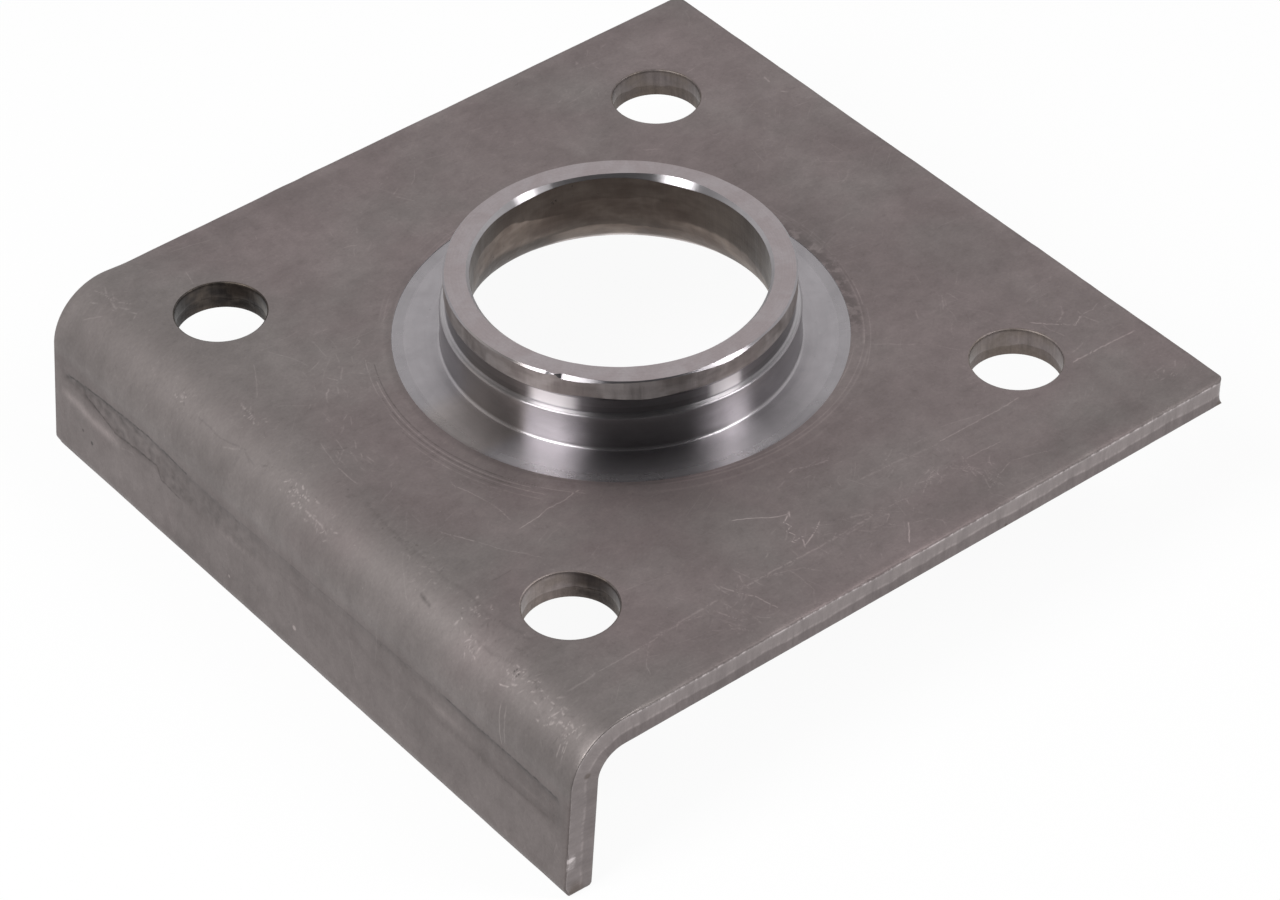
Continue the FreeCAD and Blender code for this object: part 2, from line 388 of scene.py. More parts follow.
def collar_section(turn):
    """The collar's section from the plate's top, over the collar and down to the underside.

    Each entry is radius, height, the kind of surface that follows it and the painted highlight,
    partly wear, along its edge. Radius and height may differ round the collar.
    """
    length = 2 * math.pi
    degrees = np.degrees(turn)
    degrees = np.where(degrees > 180, degrees - 360, degrees)

    # The outer chamfer's width, with its chips, and how far it is dented in
    out_w = 0.32 + 0.06 * ragged(turn, 0.5, 41, length) + 0.03 * ragged(turn, 0.08, 42, length)
    out_w += (0.14 * smooth(degrees, -170, -155) * smooth(degrees, -151.6, -153.2)
              - 0.24 * bell(degrees, -150.9, 1.4))
    out_w += 0.38 * smooth(degrees, -149.6, -148.2) * smooth(degrees, -128, -145)
    out_w += 0.4 * bell(degrees, -92, 8) - 0.15 * bell(degrees, -75, 5)
    out_w = np.clip(out_w, 0.12, 1.1)
    dent = 0.22 * bell(degrees, -151, 6) + 0.25 * bell(degrees, -76, 7)
    # The inner chamfer's width, wider at the left and at the back
    in_w = 0.6 + 0.05 * ragged(turn, 0.35, 43, length) + 0.012 * ragged(turn, 0.06, 44, length)
    in_w += 0.42 * bell(degrees, 90, 13) + 0.5 * bell(degrees, 29, 15)
    in_w = np.clip(in_w, 0.3, 1.15)
    neck_foot = RELIEF_TOP + RELIEF_RUNOUT + 0.16 * ragged(turn, 0.16, 45, length)
    bore = BORE_RADIUS + 0.05 * ragged(turn, 0.5, 46, length)
    neck = NECK_RADIUS - 0.03 + 0.02 * ragged(turn, 0.3, 47, length)
    # Painted highlights on the relief, at the angles where the lamps' bright bands fall round the collar
    relief_glint = 0.6 * smooth(degrees, -161, -157) * smooth(degrees, -141, -145)
    relief_glint += 0.6 * smooth(degrees, -100.5, -97.5) * smooth(degrees, -85.5, -88.5)

    top, fillet, edge = COLLAR_TOP, FOOT_FILLET, SHOULDER_ROUND
    relief = straight((RELIEF_RADIUS, SHOULDER_Z + 0.1), (RELIEF_RADIUS, RELIEF_TOP), 12, TURNED)
    relief = [(radius, height, kind, relief_glint * smooth(height, SHOULDER_Z + 0.2, SHOULDER_Z + 0.5))
              for radius, height, kind, _ in relief]
    flare_end = BORE_RADIUS + FLARE_RADIUS
    return [
        (RING_RADIUS + RING_MARGIN, THICKNESS, MILL, 0.0),
        (RING_RADIUS + 0.5, THICKNESS, MILL, 0.0),
        (RING_RADIUS + 0.04, THICKNESS, TURNED, 0.15),
        (RING_RADIUS - 0.04, RING_Z + 0.03, TURNED, 0.15),
        *straight((RING_RADIUS - 0.2, RING_Z), (SPIGOT_RADIUS + fillet, RING_Z), 14, TURNED),
        *round_run((SPIGOT_RADIUS + fillet, RING_Z + fillet), fillet, 270, 180, 6, TURNED),
        *straight((SPIGOT_RADIUS, RING_Z + fillet), (SPIGOT_RADIUS, SHOULDER_Z - edge), 6, TURNED),
        *round_run((SPIGOT_RADIUS - edge, SHOULDER_Z - edge), edge, 0, 90, 5, TURNED),
        # The shoulder's ledge carries a painted highlight, partly wear.
        *straight((SPIGOT_RADIUS - edge, SHOULDER_Z), (RELIEF_RADIUS + 0.1, SHOULDER_Z), 3, TURNED, 0.42),
        *relief,
        *straight((RELIEF_RADIUS, RELIEF_TOP), (neck, neck_foot), 3, TURNED),
        *straight((neck, neck_foot), (neck - dent * 0.5, top - out_w), 8, DRAWN),
        *straight((neck - dent * 0.5, top - out_w), (NECK_RADIUS - out_w - dent, top), 4, TURNED),
        *straight((NECK_RADIUS - out_w - dent, top), (bore + in_w, top), 6, FACED),
        # The inner chamfer carries a painted highlight, for the dark zone that it mirrors.
        *straight((bore + in_w, top), (bore, top - in_w), 5, TURNED, 0.2),
        *straight((bore, top - in_w), (bore, FLARE_RADIUS), 8, DRAWN),
        *round_run((bore + FLARE_RADIUS, FLARE_RADIUS), FLARE_RADIUS, 180, 270, 20, DRAWN),
        (flare_end + 0.6, 0.0, MILL, 0.0),
        (flare_end + FLARE_MARGIN, 0.0, MILL, 0.0),
    ]


def collar(shell):
    """The drawn collar with its turned faces. Returns its outer upper and lower rows."""
    turn = round_steps(COLLAR_STEPS)
    section = collar_section(turn)
    rows, flats = [], []
    profile = 0.0
    for k, (radius, height, _, wear) in enumerate(section):
        if k:
            profile += math.hypot(np.mean(radius - section[k - 1][0]), np.mean(height - section[k - 1][1]))
        flats.append(on_circle(COLLAR_X, COLLAR_Y, radius, turn))
        places = np.column_stack([flats[-1], np.zeros(COLLAR_STEPS) + height])
        rows.append(shell.add(places, profile=profile, wear=wear))
    for k in range(len(rows) - 1):
        shell.strip(rows[k], rows[k + 1], section[k][2])
    return (rows[0], flats[0]), (rows[-1], flats[-1])


def grid(flat_step, bend_step, lip_step, margin, lip_margin, holes):
    """Points spread over the flat sheet, closer along the bend, clear of the edges and holes."""
    bend_end = BEND_X - BEND_LENGTH
    columns = np.concatenate([
        np.arange(LIP_END + lip_margin, bend_end - bend_step, lip_step),
        np.arange(bend_end, BEND_X, bend_step),
        np.arange(BEND_X + flat_step / 2, FAR_X - margin, flat_step),
    ])
    points = []
    for k, s in enumerate(columns):
        y = np.arange(RIGHT_Y + margin + (k % 2) * flat_step / 2, LEFT_Y - margin, flat_step)
        points.append(np.column_stack([np.full(len(y), s), y]))
    points = np.concatenate(points)
    for x, y, radius in holes:
        points = points[np.hypot(points[:, 0] - x, points[:, 1] - y) > radius + flat_step * 0.6]
    return points


# Where the press track's upper and lower edges run on the flat sheet: y, then s of both
TRACK = np.array((
    (-77.0, -75.7, -81.4), (-60.0, -75.3, -81.3), (-42.0, -75.0, -81.2), (-29.0, -75.3, -81.2),
    (-10.0, -75.8, -79.4), (2.0, -76.0, -80.2), (13.0, -76.2, -81.2), (27.0, -76.1, -82.3),
    (38.0, -75.3, -82.0), (41.0, -75.1, -80.2), (51.0, -75.5, -80.9), (63.0, -76.4, -78.6),
    (69.0, -77.1, -78.2),
))


def press_track(s, y):
    """The shallow track that the bending tool pressed along the lip.

    Gives how deep it is and how dark or pale it shows, each at places on the flat sheet.
    """
    upper = np.interp(y, TRACK[:, 0], TRACK[:, 1])
    lower = np.interp(y, TRACK[:, 0], TRACK[:, 2])
    strength = (0.5 + 0.4 * smooth(y, 28, 44) + 0.35 * smooth(-y, 40, 56)
                + 0.12 * waves(y, 0 * y, 18, 21))
    strength *= smooth(y, 71, 68) * smooth(-y, 76.5, 73)
    inside = smooth(s, upper + 0.1, upper - 0.4) * smooth(s, lower - 0.5, lower + 0.6)
    ribs = waves(s * 0.5 + 0.9 * y, s * 1.6, 2.2, 22)
    depth = strength * inside * (0.11 + 0.03 * ribs)
    dark = bell(s, upper - 0.4, 0.6) + inside * (0.4 + 0.7 * ribs * smooth(y, 4, 16))
    dark = dark + 0.5 * bell(s, lower, 0.4)
    left_rub = bell(s, -81.8 - 0.9 * smooth(y, 66, 60), 1.0) * smooth(y, 50, 57) * smooth(y, 71, 68)
    rub = (left_rub + 0.5 * bell(s, -81.8, 0.6) * bell(y, 17, 6)
           + 0.45 * bell(s, -78.9, 1.0) * bell(y, -44, 9))
    rub = rub + 0.4 * bell(s, -79.4, 0.5) * bell(y, -66.5, 4.5)
    return depth, np.clip(strength * dark, 0, 1.4) * (1 - np.clip(rub, 0, 1)) - rub


def upper_lift(s, y):
    """How deep the upper side lies under the ideal sheet: rolled hollows and the press track."""
    depth, _ = press_track(s, y)
    return np.maximum(0.03 + 0.02 * waves(s, y, 30, 5) + depth, 0.005)


def lower_lift(s, y):
    return -0.02 + 0.015 * waves(s, y, 30, 6)


# Marks on the upper side: a half width, a level, and then s, y, s, y ... along each mark. The last
# six dark ones are edges of the press track.
PALE_MARKS = (
    (0.12, 1, -16, -50.8, -12.8, -52.6, -9.8, -54.8, -7.4, -55.8, -9.4, -56.8, -9, -58.4, -10.4, -58.8,
    -10, -60.4, -11.4, -61.6, -9.4, -61.6, -10.8, -64.2),
    (0.16, 0.9, -4.2, -60.2, -6.2, -61.6, -8.6, -62.8, -11, -63.8), (0.14, 0.9, 7, -70.2, 2.8, -75.2),
    (0.3, 0.6, 2.4, -75.2, 3, -76), (0.16, 0.6, -28.2, -62, -27, -64.8, -25, -68, -23.8, -73),
    (0.2, 0.45, -32.4, -66.8, -31.4, -69.2, -30.4, -71.6),
    (0.25, 0.4, -32.8, -71.6, -31.2, -73.8, -29.2, -75.2),
    (0.14, 0.6, -0.8, -47.8, 0.8, -47.4, 2.2, -48.2, 4, -48.8, 7, -49.4),
    (0.14, 0.5, 4.2, -49, 6.6, -49.6, 7.6, -48.6), (0.3, 0.45, 24.2, -66, 24.8, -70, 25.6, -74),
    (0.14, 0.5, 30.8, -69.6, 26.8, -71, 22.4, -73), (0.12, 0.4, 30.8, -69.6, 35, -70.8, 38.8, -72.2),
    (0.3, 0.6, 30.6, -69.4, 31, -69.8),
    (0.12, 0.4, 13.6, -66.2, 17.2, -63.8, 19.2, -62.8, 18.8, -65, 20, -65.4),
    (0.12, 0.4, 25, -64.2, 29.2, -64.4, 33.2, -64.8),
    (0.14, 0.35, 4.4, -65, 7.4, -65.2, 10.4, -65.4, 10, -67.2),
    (0.12, 0.5, 5, -66, 5.6, -66.8, 4, -68, 4.2, -69, 5, -69.4),
    (0.14, 0.35, 7.6, -71, 10.4, -71.8, 11.6, -73.6, 11.4, -74.8),
    (0.3, 0.3, -1.4, -62.8, 1.4, -63.6, 3.8, -64.4),
    (0.3, 0.35, -44.6, -64.8, -40, -65, -35.2, -64.8, -30.4, -64.6),
    (0.25, 0.45, -24.8, -65.2, -20.4, -65, -15.8, -65.2, -11.2, -65.4, -7, -65.4),
    (0.35, 0.4, -7, -65.4, -3.6, -65.4, 0, -65.2, 4.4, -65),
    (0.2, 0.3, -21.6, -64.8, -18, -66.2, -14.4, -67.6, -12.2, -70.6),
    (0.14, 0.3, -16.6, -66, -16.2, -69.6, -16.4, -73, -18.2, -75.6),
    (0.14, 0.3, -23.8, -60, -22.8, -63.8, -22.2, -67),
    (0.3, 0.25, 6.8, -56.6, 11.4, -57, 15.6, -57.2, 19.2, -57.8, 24.6, -58.2),
    (0.14, 0.3, 24.2, -66.6, 22.4, -64, 20.8, -63.8),
    (0.12, 0.3, 26.4, -68.4, 24.8, -72.4, 25.2, -73.6),
    (0.12, 0.7, -45, -29.6, -41.2, -29.4, -38, -28.6, -35, -28.8, -30.6, -28.2),
    (0.16, 0.6, -55.8, -21.6, -54.2, -24.4, -52.4, -27.6),
    (0.12, 0.35, -52.4, -27.6, -50.2, -32, -47.8, -35.4, -46.2, -38.2),
    (0.12, 0.4, -46.8, -13, -45.4, -17.8, -44.4, -22.2, -44.6, -27.4),
    (0.35, 0.9, -65.2, -39.6, -63.4, -40.2), (0.3, 0.9, -60.4, -38.2, -60.8, -39.2),
    (0.25, 0.6, -65.8, -54, -64.4, -54), (0.2, 0.5, -64.8, -54.2, -63.6, -54.8),
    (0.14, 0.5, -68.8, -56.6, -71.4, -57.6, -74.6, -58.8),
    (0.14, 0.4, -68.4, -57.8, -70.8, -58.8, -73.8, -59.6), (0.12, 0.5, -66.4, -44.6, -65.4, -45.4),
    (0.12, 0.5, -66.4, -45.2, -65.6, -46.2), (0.25, 0.3, -62.4, -65.8, -60.2, -66, -56.8, -65.6),
    (0.16, 0.35, -56.8, -65.6, -53, -65.6, -50, -65.6, -44.8, -65.4, -40.2, -65.2, -35.4, -65.4),
    (0.3, 0.5, -62.2, -39, -62.2, -41.2, -62.2, -42.8), (0.2, 0.6, -60.4, -42.2, -60.6, -43),
    (0.2, 0.5, -63.8, -65, -63, -66.4), (0.3, 0.6, -66.6, -66.8, -66.2, -68.4),
    (0.14, 0.6, -66.2, -70.8, -67.4, -72.4), (0.14, 0.6, -66, -74.4, -67, -76.4),
    (0.2, 0.7, -65.4, -60.2, -64.6, -61.4), (0.3, 0.7, -66.4, 5.8, -65.6, 5, -65.4, 3.8, -65.4, 1.4),
    (0.3, 0.8, -66, 3, -66.8, 0.8), (0.2, 0.6, -65, 3.2, -65.4, 0.6),
    (0.16, 0.5, -66.4, 0.6, -66.6, -4, -67, -6.8),
    (0.25, 0.6, -61.4, 27.4, -61.6, 26, -61.6, 24, -62, 21.8),
    (0.2, 0.4, -47.6, 20.6, -49.2, 19.4, -50.4, 17.4), (0.2, 0.3, -42.4, 23.8, -45, 21),
    (0.16, 0.5, -52.4, 6.6, -53.8, 4.4), (0.16, 0.5, -59, 2.8, -59.2, -0.2, -59, -3),
    (0.16, 0.3, -38.2, 26.6, -36, 27.4, -36, 28.6), (0.14, 0.3, -57.4, 10.2, -58.4, 6.2, -59, 2.8),
    (0.2, 0.4, -62.2, 69, -62.2, 65.8, -62.8, 62.8), (0.12, 0.3, -66.8, 67.6, -64.6, 63.8),
    (0.12, 0.3, -54, 34.4, -56, 30.8, -59, 26.4), (0.14, 0.3, -67.4, 23.6, -66, 19.6),
    (0.3, 0.5, -65.8, 38.4, -65.8, 36.8), (0.16, 0.5, 24.6, -58, 31.8, -58.1, 38.8, -58.2, 43.4, -58),
    (0.2, 0.7, 55.6, -56.8, 59.4, -57, 63.4, -57.1, 67.8, -57.3, 71.6, -57.5),
    (0.14, 0.8, 58.4, -43.8, 61, -46.6, 64.4, -49.8, 67.2, -48.2),
    (0.14, 0.4, 67.2, -48.2, 69.8, -48.4, 71.8, -47.6), (0.35, 0.7, 44.6, 67.2, 45.6, 68.4),
    (0.35, 0.5, 69.4, 36.6, 70.4, 35), (0.3, 0.5, 69.8, 42, 69.6, 39.6),
    (0.35, 0.4, 72, 28.6, 72.6, 25, 73, 21.6), (0.2, 0.3, 37.2, 39, 40.4, 36.8),
    (0.16, 0.35, 50, 34.2, 52.4, 33.6), (0.35, 0.35, 51.2, 68.6, 53.4, 69.2),
)
DARK_MARKS = (
    (0.6, 0.28, -61, -12.4, -61.2, -16.8, -61.2, -22, -61.4, -27.2, -61.4, -32.6),
    (0.5, 0.26, -61.4, -32.6, -60.8, -36.6, -61.4, -41.6, -61.6, -44.6),
    (0.4, 0.3, -64.8, -43, -64.8, -49.2, -64.2, -52.4, -64.2, -54.4),
    (0.4, 0.35, -64, -57.6, -64, -60, -64.4, -62, -65.2, -63.6),
    (0.6, 0.26, -61.4, -41.6, -61, -46.6, -60.4, -49.4, -60.4, -52.6),
    (0.35, 0.8, -65, -30, -65.2, -32, -65.2, -33.8), (0.14, 0.35, -57, -37, -54.6, -37, -52, -37),
    (0.12, 0.3, -66.4, 32.2, -66.6, 24.6, -65.6, 19.2, -66.6, 15), (0.2, 0.45, -65.8, 14.4, -65, 11.4),
    (0.25, 0.6, -65.4, 6.2, -65.4, 4.6), (0.7, 0.26, -60.4, -7, -61, -12, -61.2, -15.8, -62, -23.4),
    (0.12, 0.3, -65.6, 19.6, -66.6, 16.2), (0.16, 0.4, -57.8, 7.2, -54.4, 5.4),
    (0.3, 1.5, -77, 68.4, -76, 60, -75.5, 51, -75.1, 44, -75.3, 38, -76, 31),
    (0.2, 0.55, -76.1, 29, -76.2, 20, -76, 8, -75.6, -10, -75.3, -28, -75, -40),
    (0.28, 1.3, -75, -42, -75.4, -52, -75.3, -61, -75.5, -69, -75.7, -74),
    (0.24, 1.1, -78.2, 63, -79.8, 57, -81, 53, -80.2, 46, -80, 40.4, -82.2, 39, -82.8, 33),
    (0.2, 0.5, -81.2, -57, -81.5, -64, -81.2, -71),
    (0.14, 0.35, -79.6, 25, -80.6, 18, -79.4, 10, -79.8, 2, -79, -6),
)
# Small round marks: s, y, radius and level
SPOTS = (
    (-89, -1, 0.6, 0.8), (-90.4, 18.4, 0.4, 0.6), (-88, 61, 0.5, -1), (-86.8, 63.8, 0.4, -0.8),
    (-64.6, -55.8, 0.8, -1.1), (-47, -41.4, 0.5, -0.6), (47.2, -53.4, 0.4, 0.8),
)
# Patches of many small scratches: s, y, how many, how far they spread along s and along y, which
# way they mostly run, their greatest length and level
SCUFFS = (
    (-65.6, 3.5, 22, 0.8, 2, 80, 2.2, 0.9), (-66.5, -3, 22, 0.5, 4, -80, 1.5, 0.6),
    (-65, -57.6, 24, 0.9, 1.8, -60, 2.6, 0.8), (-65.4, -66, 20, 0.9, 2.8, -70, 2.4, 0.7),
    (-66.2, -72.6, 22, 0.8, 1.6, 10, 2.8, 0.9), (-65.8, -44.5, 16, 0.8, 1.6, 70, 1.6, 0.7),
    (-62, -28, 20, 0.8, 4, 80, 1.6, 0.4), (-61.8, 24, 14, 0.4, 2.4, 85, 1.4, 0.7),
    (-62, -40, 14, 0.7, 1.8, 80, 1.6, 0.6), (-65.8, 37.5, 8, 0.5, 1, 80, 1.2, 0.7),
    (24.8, -69, 34, 1.3, 3.4, -75, 4, 0.45), (17.6, -64, 16, 2, 1.6, 20, 4, 0.4),
    (-29.2, -67.4, 24, 2.6, 2.2, 60, 4.5, 0.4), (-31, -73, 18, 2.2, 1.4, -50, 4, 0.35),
    (-10, -62, 14, 3, 3, 30, 4, 0.3), (-10, -72, 22, 5, 2, 75, 4.5, 0.3),
    (6, -68, 16, 5, 2.4, 5, 5, 0.3), (0, -65, 20, 7, 0.7, 0, 5, 0.35),
    (-24, -65.2, 14, 8, 0.7, 0, 5, 0.3), (50, -29, 12, 3, 4, 60, 5, 0.4), (48, 0, 10, 4, 4, 5, 6, 0.3),
    (-56, 2, 20, 2.6, 3, 70, 4, 0.4), (-48, 17, 14, 2.6, 3.4, 75, 4, 0.35),
    (-55, -20, 12, 3, 4, 60, 4, 0.3), (-40, 24, 12, 2, 4, -70, 3, 0.3), (2, -50, 12, 4, 2, 10, 4, 0.35),
    (15, -57, 16, 6, 1.2, 0, 6, 0.3), (-20, 52, 10, 5, 4, 30, 5, 0.3), (64, -50, 12, 4, 4, 60, 6, 0.35),
    (-62.5, 66, 16, 0.8, 2.4, 80, 3, 0.4), (60, 20, 10, 6, 6, 40, 6, 0.3),
    (-45, -20, 12, 2, 6, -75, 4, 0.3), (-61.4, -24, 26, 0.6, 9, 85, 1.4, -0.5),
    (-62.2, -48, 30, 1.4, 5, 75, 1.4, -0.5), (-64, 10, 16, 1, 6, 80, 1.2, -0.4),
    (43.5, -8, 18, 1, 6, 80, 1.4, -0.6), (67.5, -69.4, 16, 2.6, 1, 20, 2.6, 0.5),
    (41, 60, 10, 4, 2, 30, 3, 0.35),
)
# Broad lighter and darker zones of the sheet: s, y, how far they reach along s and y, and level
ZONES = (
    (-59, -15, 9, 14, -0.14), (-44, 3, 9, 12, -0.1), (-29, 26, 6, 9, -0.07), (-28, -33, 8, 8, 0.08),
    (-46, -42, 7, 7, -0.08), (15, -71, 60, 4.5, -0.1), (50, -73, 14, 3.5, -0.16), (71, -71, 4, 4, 0.1),
    (68, 0, 4, 40, -0.12), (0, 70.5, 70, 3.5, -0.14), (62, 60, 8, 8, 0.08), (25, -47, 42, 8, -0.15),
    (-20, 45, 14, 9, 0.05), (38, 40, 10, 10, -0.06), (-52, 30, 6, 14, 0.05), (-70, -12, 4, 26, 0.05),
    (-84, -10, 3, 14, -0.1), (-88, 40, 4, 16, 0.06), (-86, -60, 4, 8, -0.08), (60, -18, 8, 10, -0.16),
    (46, 0, 8, 22, -0.26), (-87, -40, 4, 10, -0.18), (-68, 6, 3, 6, -0.1), (-66, 40, 4, 16, 0.05),
    (-78, 20, 3, 16, -0.08),
)
LONE_SCRATCHES = 110
SCRATCH_STEP = 0.5
# The least width of a mark, its fade to each side, the least gaps between its points and the
# cells in which they are looked up
MARK_WIDTH, MARK_FADE, MARK_GAP, SIDE_GAP, SPOT_GAP, MARK_CELL = 0.12, 0.06, 0.12, 0.13, 0.1, 0.15
# Arcs round the ring: the angle where each starts, how far it runs, its radius and its level. They
# turn about a centre a little off the collar's.
FACING_CENTRE = (COLLAR_X - 0.9, COLLAR_Y + 0.3)
ARC_STEP = 0.65
FACING_ARCS = (
    (152, 62, 43.2, -0.7), (158, 54, 43.8, 0.5), (164, 44, 44.3, -0.6), (170, 46, 44.9, 0.45),
    (176, 30, 45.5, -0.4), (182, 34, 46.2, 0.3), (205, 20, 43.3, 0.4), (150, 20, 44.6, 0.3),
    (-60, 36, 43.2, 0.35), (-44, 30, 43.9, 0.4), (-30, 44, 44.5, 0.35), (-8, 34, 45.2, 0.3),
    (6, 30, 43.4, 0.3), (-52, 22, 45, 0.25),
)
# How dark the press track shows
PRESS_DARK = 0.55


def wander(start, heading, length, noise, bend):
    """A scratch that starts somewhere and wanders: places half a millimetre apart or less."""
    places = [np.array(start, float)]
    count = max(3, round(length / SCRATCH_STEP))
    for _ in range(count):
        heading += noise.normal() * bend
        places.append(places[-1] + length / count * np.array([math.cos(heading), math.sin(heading)]))
    return np.array(places)


def along_chain(chain, noise):
    """Places half a millimetre apart along straight runs, a little unsteady."""
    places = []
    for a, b in zip(chain, chain[1:]):
        count = max(2, int(np.linalg.norm(b - a) / SCRATCH_STEP))
        places += [a + (b - a) * k / count for k in range(count)]
    places = np.array(places + [chain[-1]])
    return places + noise.normal(size=places.shape) * 0.05


def scratch_lines():
    """All the scratches of the upper side: places, half width and level, pale above 0."""
    noise = np.random.default_rng(31)
    lines = []
    for chains, sign in ((PALE_MARKS, 1.0), (DARK_MARKS, -1.0)):
        for width, level, *chain in chains:
            lines.append((along_chain(np.reshape(chain, (-1, 2)), noise), width, sign * level))
    for s, y, count, spread_s, spread_y, heading, longest, strongest in SCUFFS:
        for _ in range(count):
            place = (s + noise.normal() * spread_s, y + noise.normal() * spread_y)
            turn = math.radians(heading) + noise.normal() * 0.5 + math.pi * noise.integers(2)
            length = longest * noise.uniform(0.3, 1.0)
            level = strongest * noise.uniform(0.3, 1.0) * (1 if noise.random() < 0.8 else -0.6)
            width = noise.uniform(0.1, 0.2)
            lines.append((wander(place, turn, length, noise, noise.uniform(0.02, 0.2)), width, level))
    for _ in range(LONE_SCRATCHES):
        place = (noise.uniform(-92, 73), noise.uniform(-75, 71))
        length = noise.uniform(1.0, 9.0)
        lines.append((wander(place, noise.uniform(0, 6.28), length, noise, noise.uniform(0.01, 0.12)),
                      MARK_WIDTH, noise.uniform(0.06, 0.3)))
    return lines


def facing_arcs(noise):
    """The arcs that the facing tool scraped into the sheet outside the ring."""
    arcs = []
    for start, sweep, radius, level in FACING_ARCS:
        turn = np.radians(start + np.arange(0, sweep, ARC_STEP))
        around = radius + 0.03 * np.cumsum(noise.normal(size=len(turn))) / np.sqrt(len(turn))
        arcs.append((on_circle(*FACING_CENTRE, around, turn), MARK_WIDTH, level))
    return arcs


def scratch_points(clear):
    """Rows of points that draw each scratch: its level on the line and none beside it."""
    noise = np.random.default_rng(32)
    taken = {}
    points, levels = [], []

    def put(place, level, gap):
        cell = (int(place[0] / MARK_CELL), int(place[1] / MARK_CELL))
        for i in (-1, 0, 1):
            for j in (-1, 0, 1):
                for other in taken.get((cell[0] + i, cell[1] + j), ()):
                    if math.hypot(other[0] - place[0], other[1] - place[1]) < gap:
                        return
        if clear(place):
            taken.setdefault(cell, []).append(place)
            points.append(place)
            levels.append(level)

    sides = []
    for places, width, level in scratch_lines() + facing_arcs(noise):
        ahead = np.gradient(places, axis=0)
        ahead /= np.linalg.norm(ahead, axis=1)[:, None] + 1e-9
        across = np.column_stack([-ahead[:, 1], ahead[:, 0]])
        reach = max(width, MARK_WIDTH) + MARK_FADE
        ends = np.ones(len(places))
        ends[0] = ends[-1] = 0.0
        for place, end in zip(places, ends):
            put(place, level * end * noise.uniform(0.45, 1.0), MARK_GAP)
        for place, side in zip(places, across):
            sides += [place + side * reach, place - side * reach]
    for place in sides:
        put(place, 0.0, SIDE_GAP)
    for s, y, radius, level in SPOTS:
        for reach, value, count in ((0.0, level, 1), (radius * 0.6, level, 8), (radius, 0.0, 14)):
            for k in range(count):
                turn = 2 * math.pi * k / count
                put((s + reach * math.cos(turn), y + reach * math.sin(turn)), value, SPOT_GAP)
    return np.array(points), np.array(levels)


def zone_level(s, y):
    return sum(level * np.exp(-((s - s0) / reach_s) ** 2 - ((y - y0) / reach_y) ** 2)
               for s0, y0, reach_s, reach_y, level in ZONES)


def plate_mesh():
    shell = Shell()
    outer_top, outer_bottom = rim(shell)
    tops, bottoms = [outer_top], [outer_bottom]
    top_holes, bottom_holes = [], []
    half = HOLE_SPACING / 2
    for k, (x, y) in enumerate(((-half, -half), (half, -half), (half, half), (-half, half))):
        top, bottom = bolt_hole(shell, x, y, 100 + 10 * k, HOLE_RIM_GLINT[k])
        tops.append(top)
        bottoms.append(bottom)
        top_holes.append((x, y, HOLE_RADIUS + HOLE_MARGIN_TOP))
        bottom_holes.append((x, y, HOLE_RADIUS + HOLE_MARGIN_BOTTOM))
    top, bottom = collar(shell)
    tops.append(top)
    bottoms.append(bottom)
    top_holes.append((COLLAR_X, COLLAR_Y, RING_RADIUS + RING_MARGIN))
    bottom_holes.append((COLLAR_X, COLLAR_Y, BORE_RADIUS + FLARE_RADIUS + FLARE_MARGIN))

    margin = SHEARED_EDGE[0][0] + 0.5

    def clear(place):
        s, y = place
        edge_ok = LIP_END + 4.0 < s < FAR_X - margin and RIGHT_Y + margin < y < LEFT_Y - margin
        return edge_ok and all(math.hypot(s - hx, y - hy) > r + 0.3 for hx, hy, r in top_holes)

    drawn, levels = scratch_points(clear)
    tree = KDTree(len(drawn))
    for k, (s, y) in enumerate(drawn):
        tree.insert((s, y, 0), k)
    tree.balance()
    spread = grid(flat_step=1.2, bend_step=0.6, lip_step=0.6, margin=margin, lip_margin=3.9,
                  holes=top_holes)
    spread = spread[[tree.find((s, y, 0))[2] > 0.4 for s, y in spread]]
    inside = np.concatenate([spread, drawn])
    line_level = np.concatenate([np.zeros(len(spread)), levels])
    lift = upper_lift(inside[:, 0], inside[:, 1]) + 0.012 * np.abs(line_level)
    mark = np.where(line_level == 0, -PRESS_DARK * press_track(inside[:, 0], inside[:, 1])[1], line_level)
    mark = mark + zone_level(inside[:, 0], inside[:, 1])
    shell.skin(tops, top_holes, inside, mark, 0.0, lift, MILL)
    inside = grid(flat_step=2.4, bend_step=0.9, lip_step=1.8, margin=1.5, lip_margin=2.6,
                  holes=bottom_holes)
    lift = lower_lift(inside[:, 0], inside[:, 1])
    shell.skin(bottoms, bottom_holes, inside, 0.0, THICKNESS, lift, MILL)
    return shell


def build_piece():
    shell = plate_mesh()
    mesh = bpy.data.meshes.new("flange_plate_surface")
    mesh.from_pydata((np.concatenate(shell.places) * MM).tolist(), [], shell.faces)
    mesh.attributes.new("sheet", "FLOAT_VECTOR", "POINT").data.foreach_set(
        "vector", np.concatenate(shell.sheet).astype(np.float32).ravel())
    # The mesh carries painted highlights, partly wear, along the burr, the holes' rims and the collar's
    # edges.
    for name, values in (("profile", shell.profile), ("wear", shell.wear), ("mark", shell.mark)):
        mesh.attributes.new(name, "FLOAT", "POINT").data.foreach_set(
            "value", np.concatenate(values).astype(np.float32))
    mesh.polygons.foreach_set("material_index", shell.kinds)
    mesh.shade_smooth()
    mesh.set_sharp_from_angle(angle=math.radians(30))
    mesh.validate()
    piece = bpy.data.objects.new("flange_plate_body", mesh)
    bpy.context.scene.collection.objects.link(piece)
    return piece


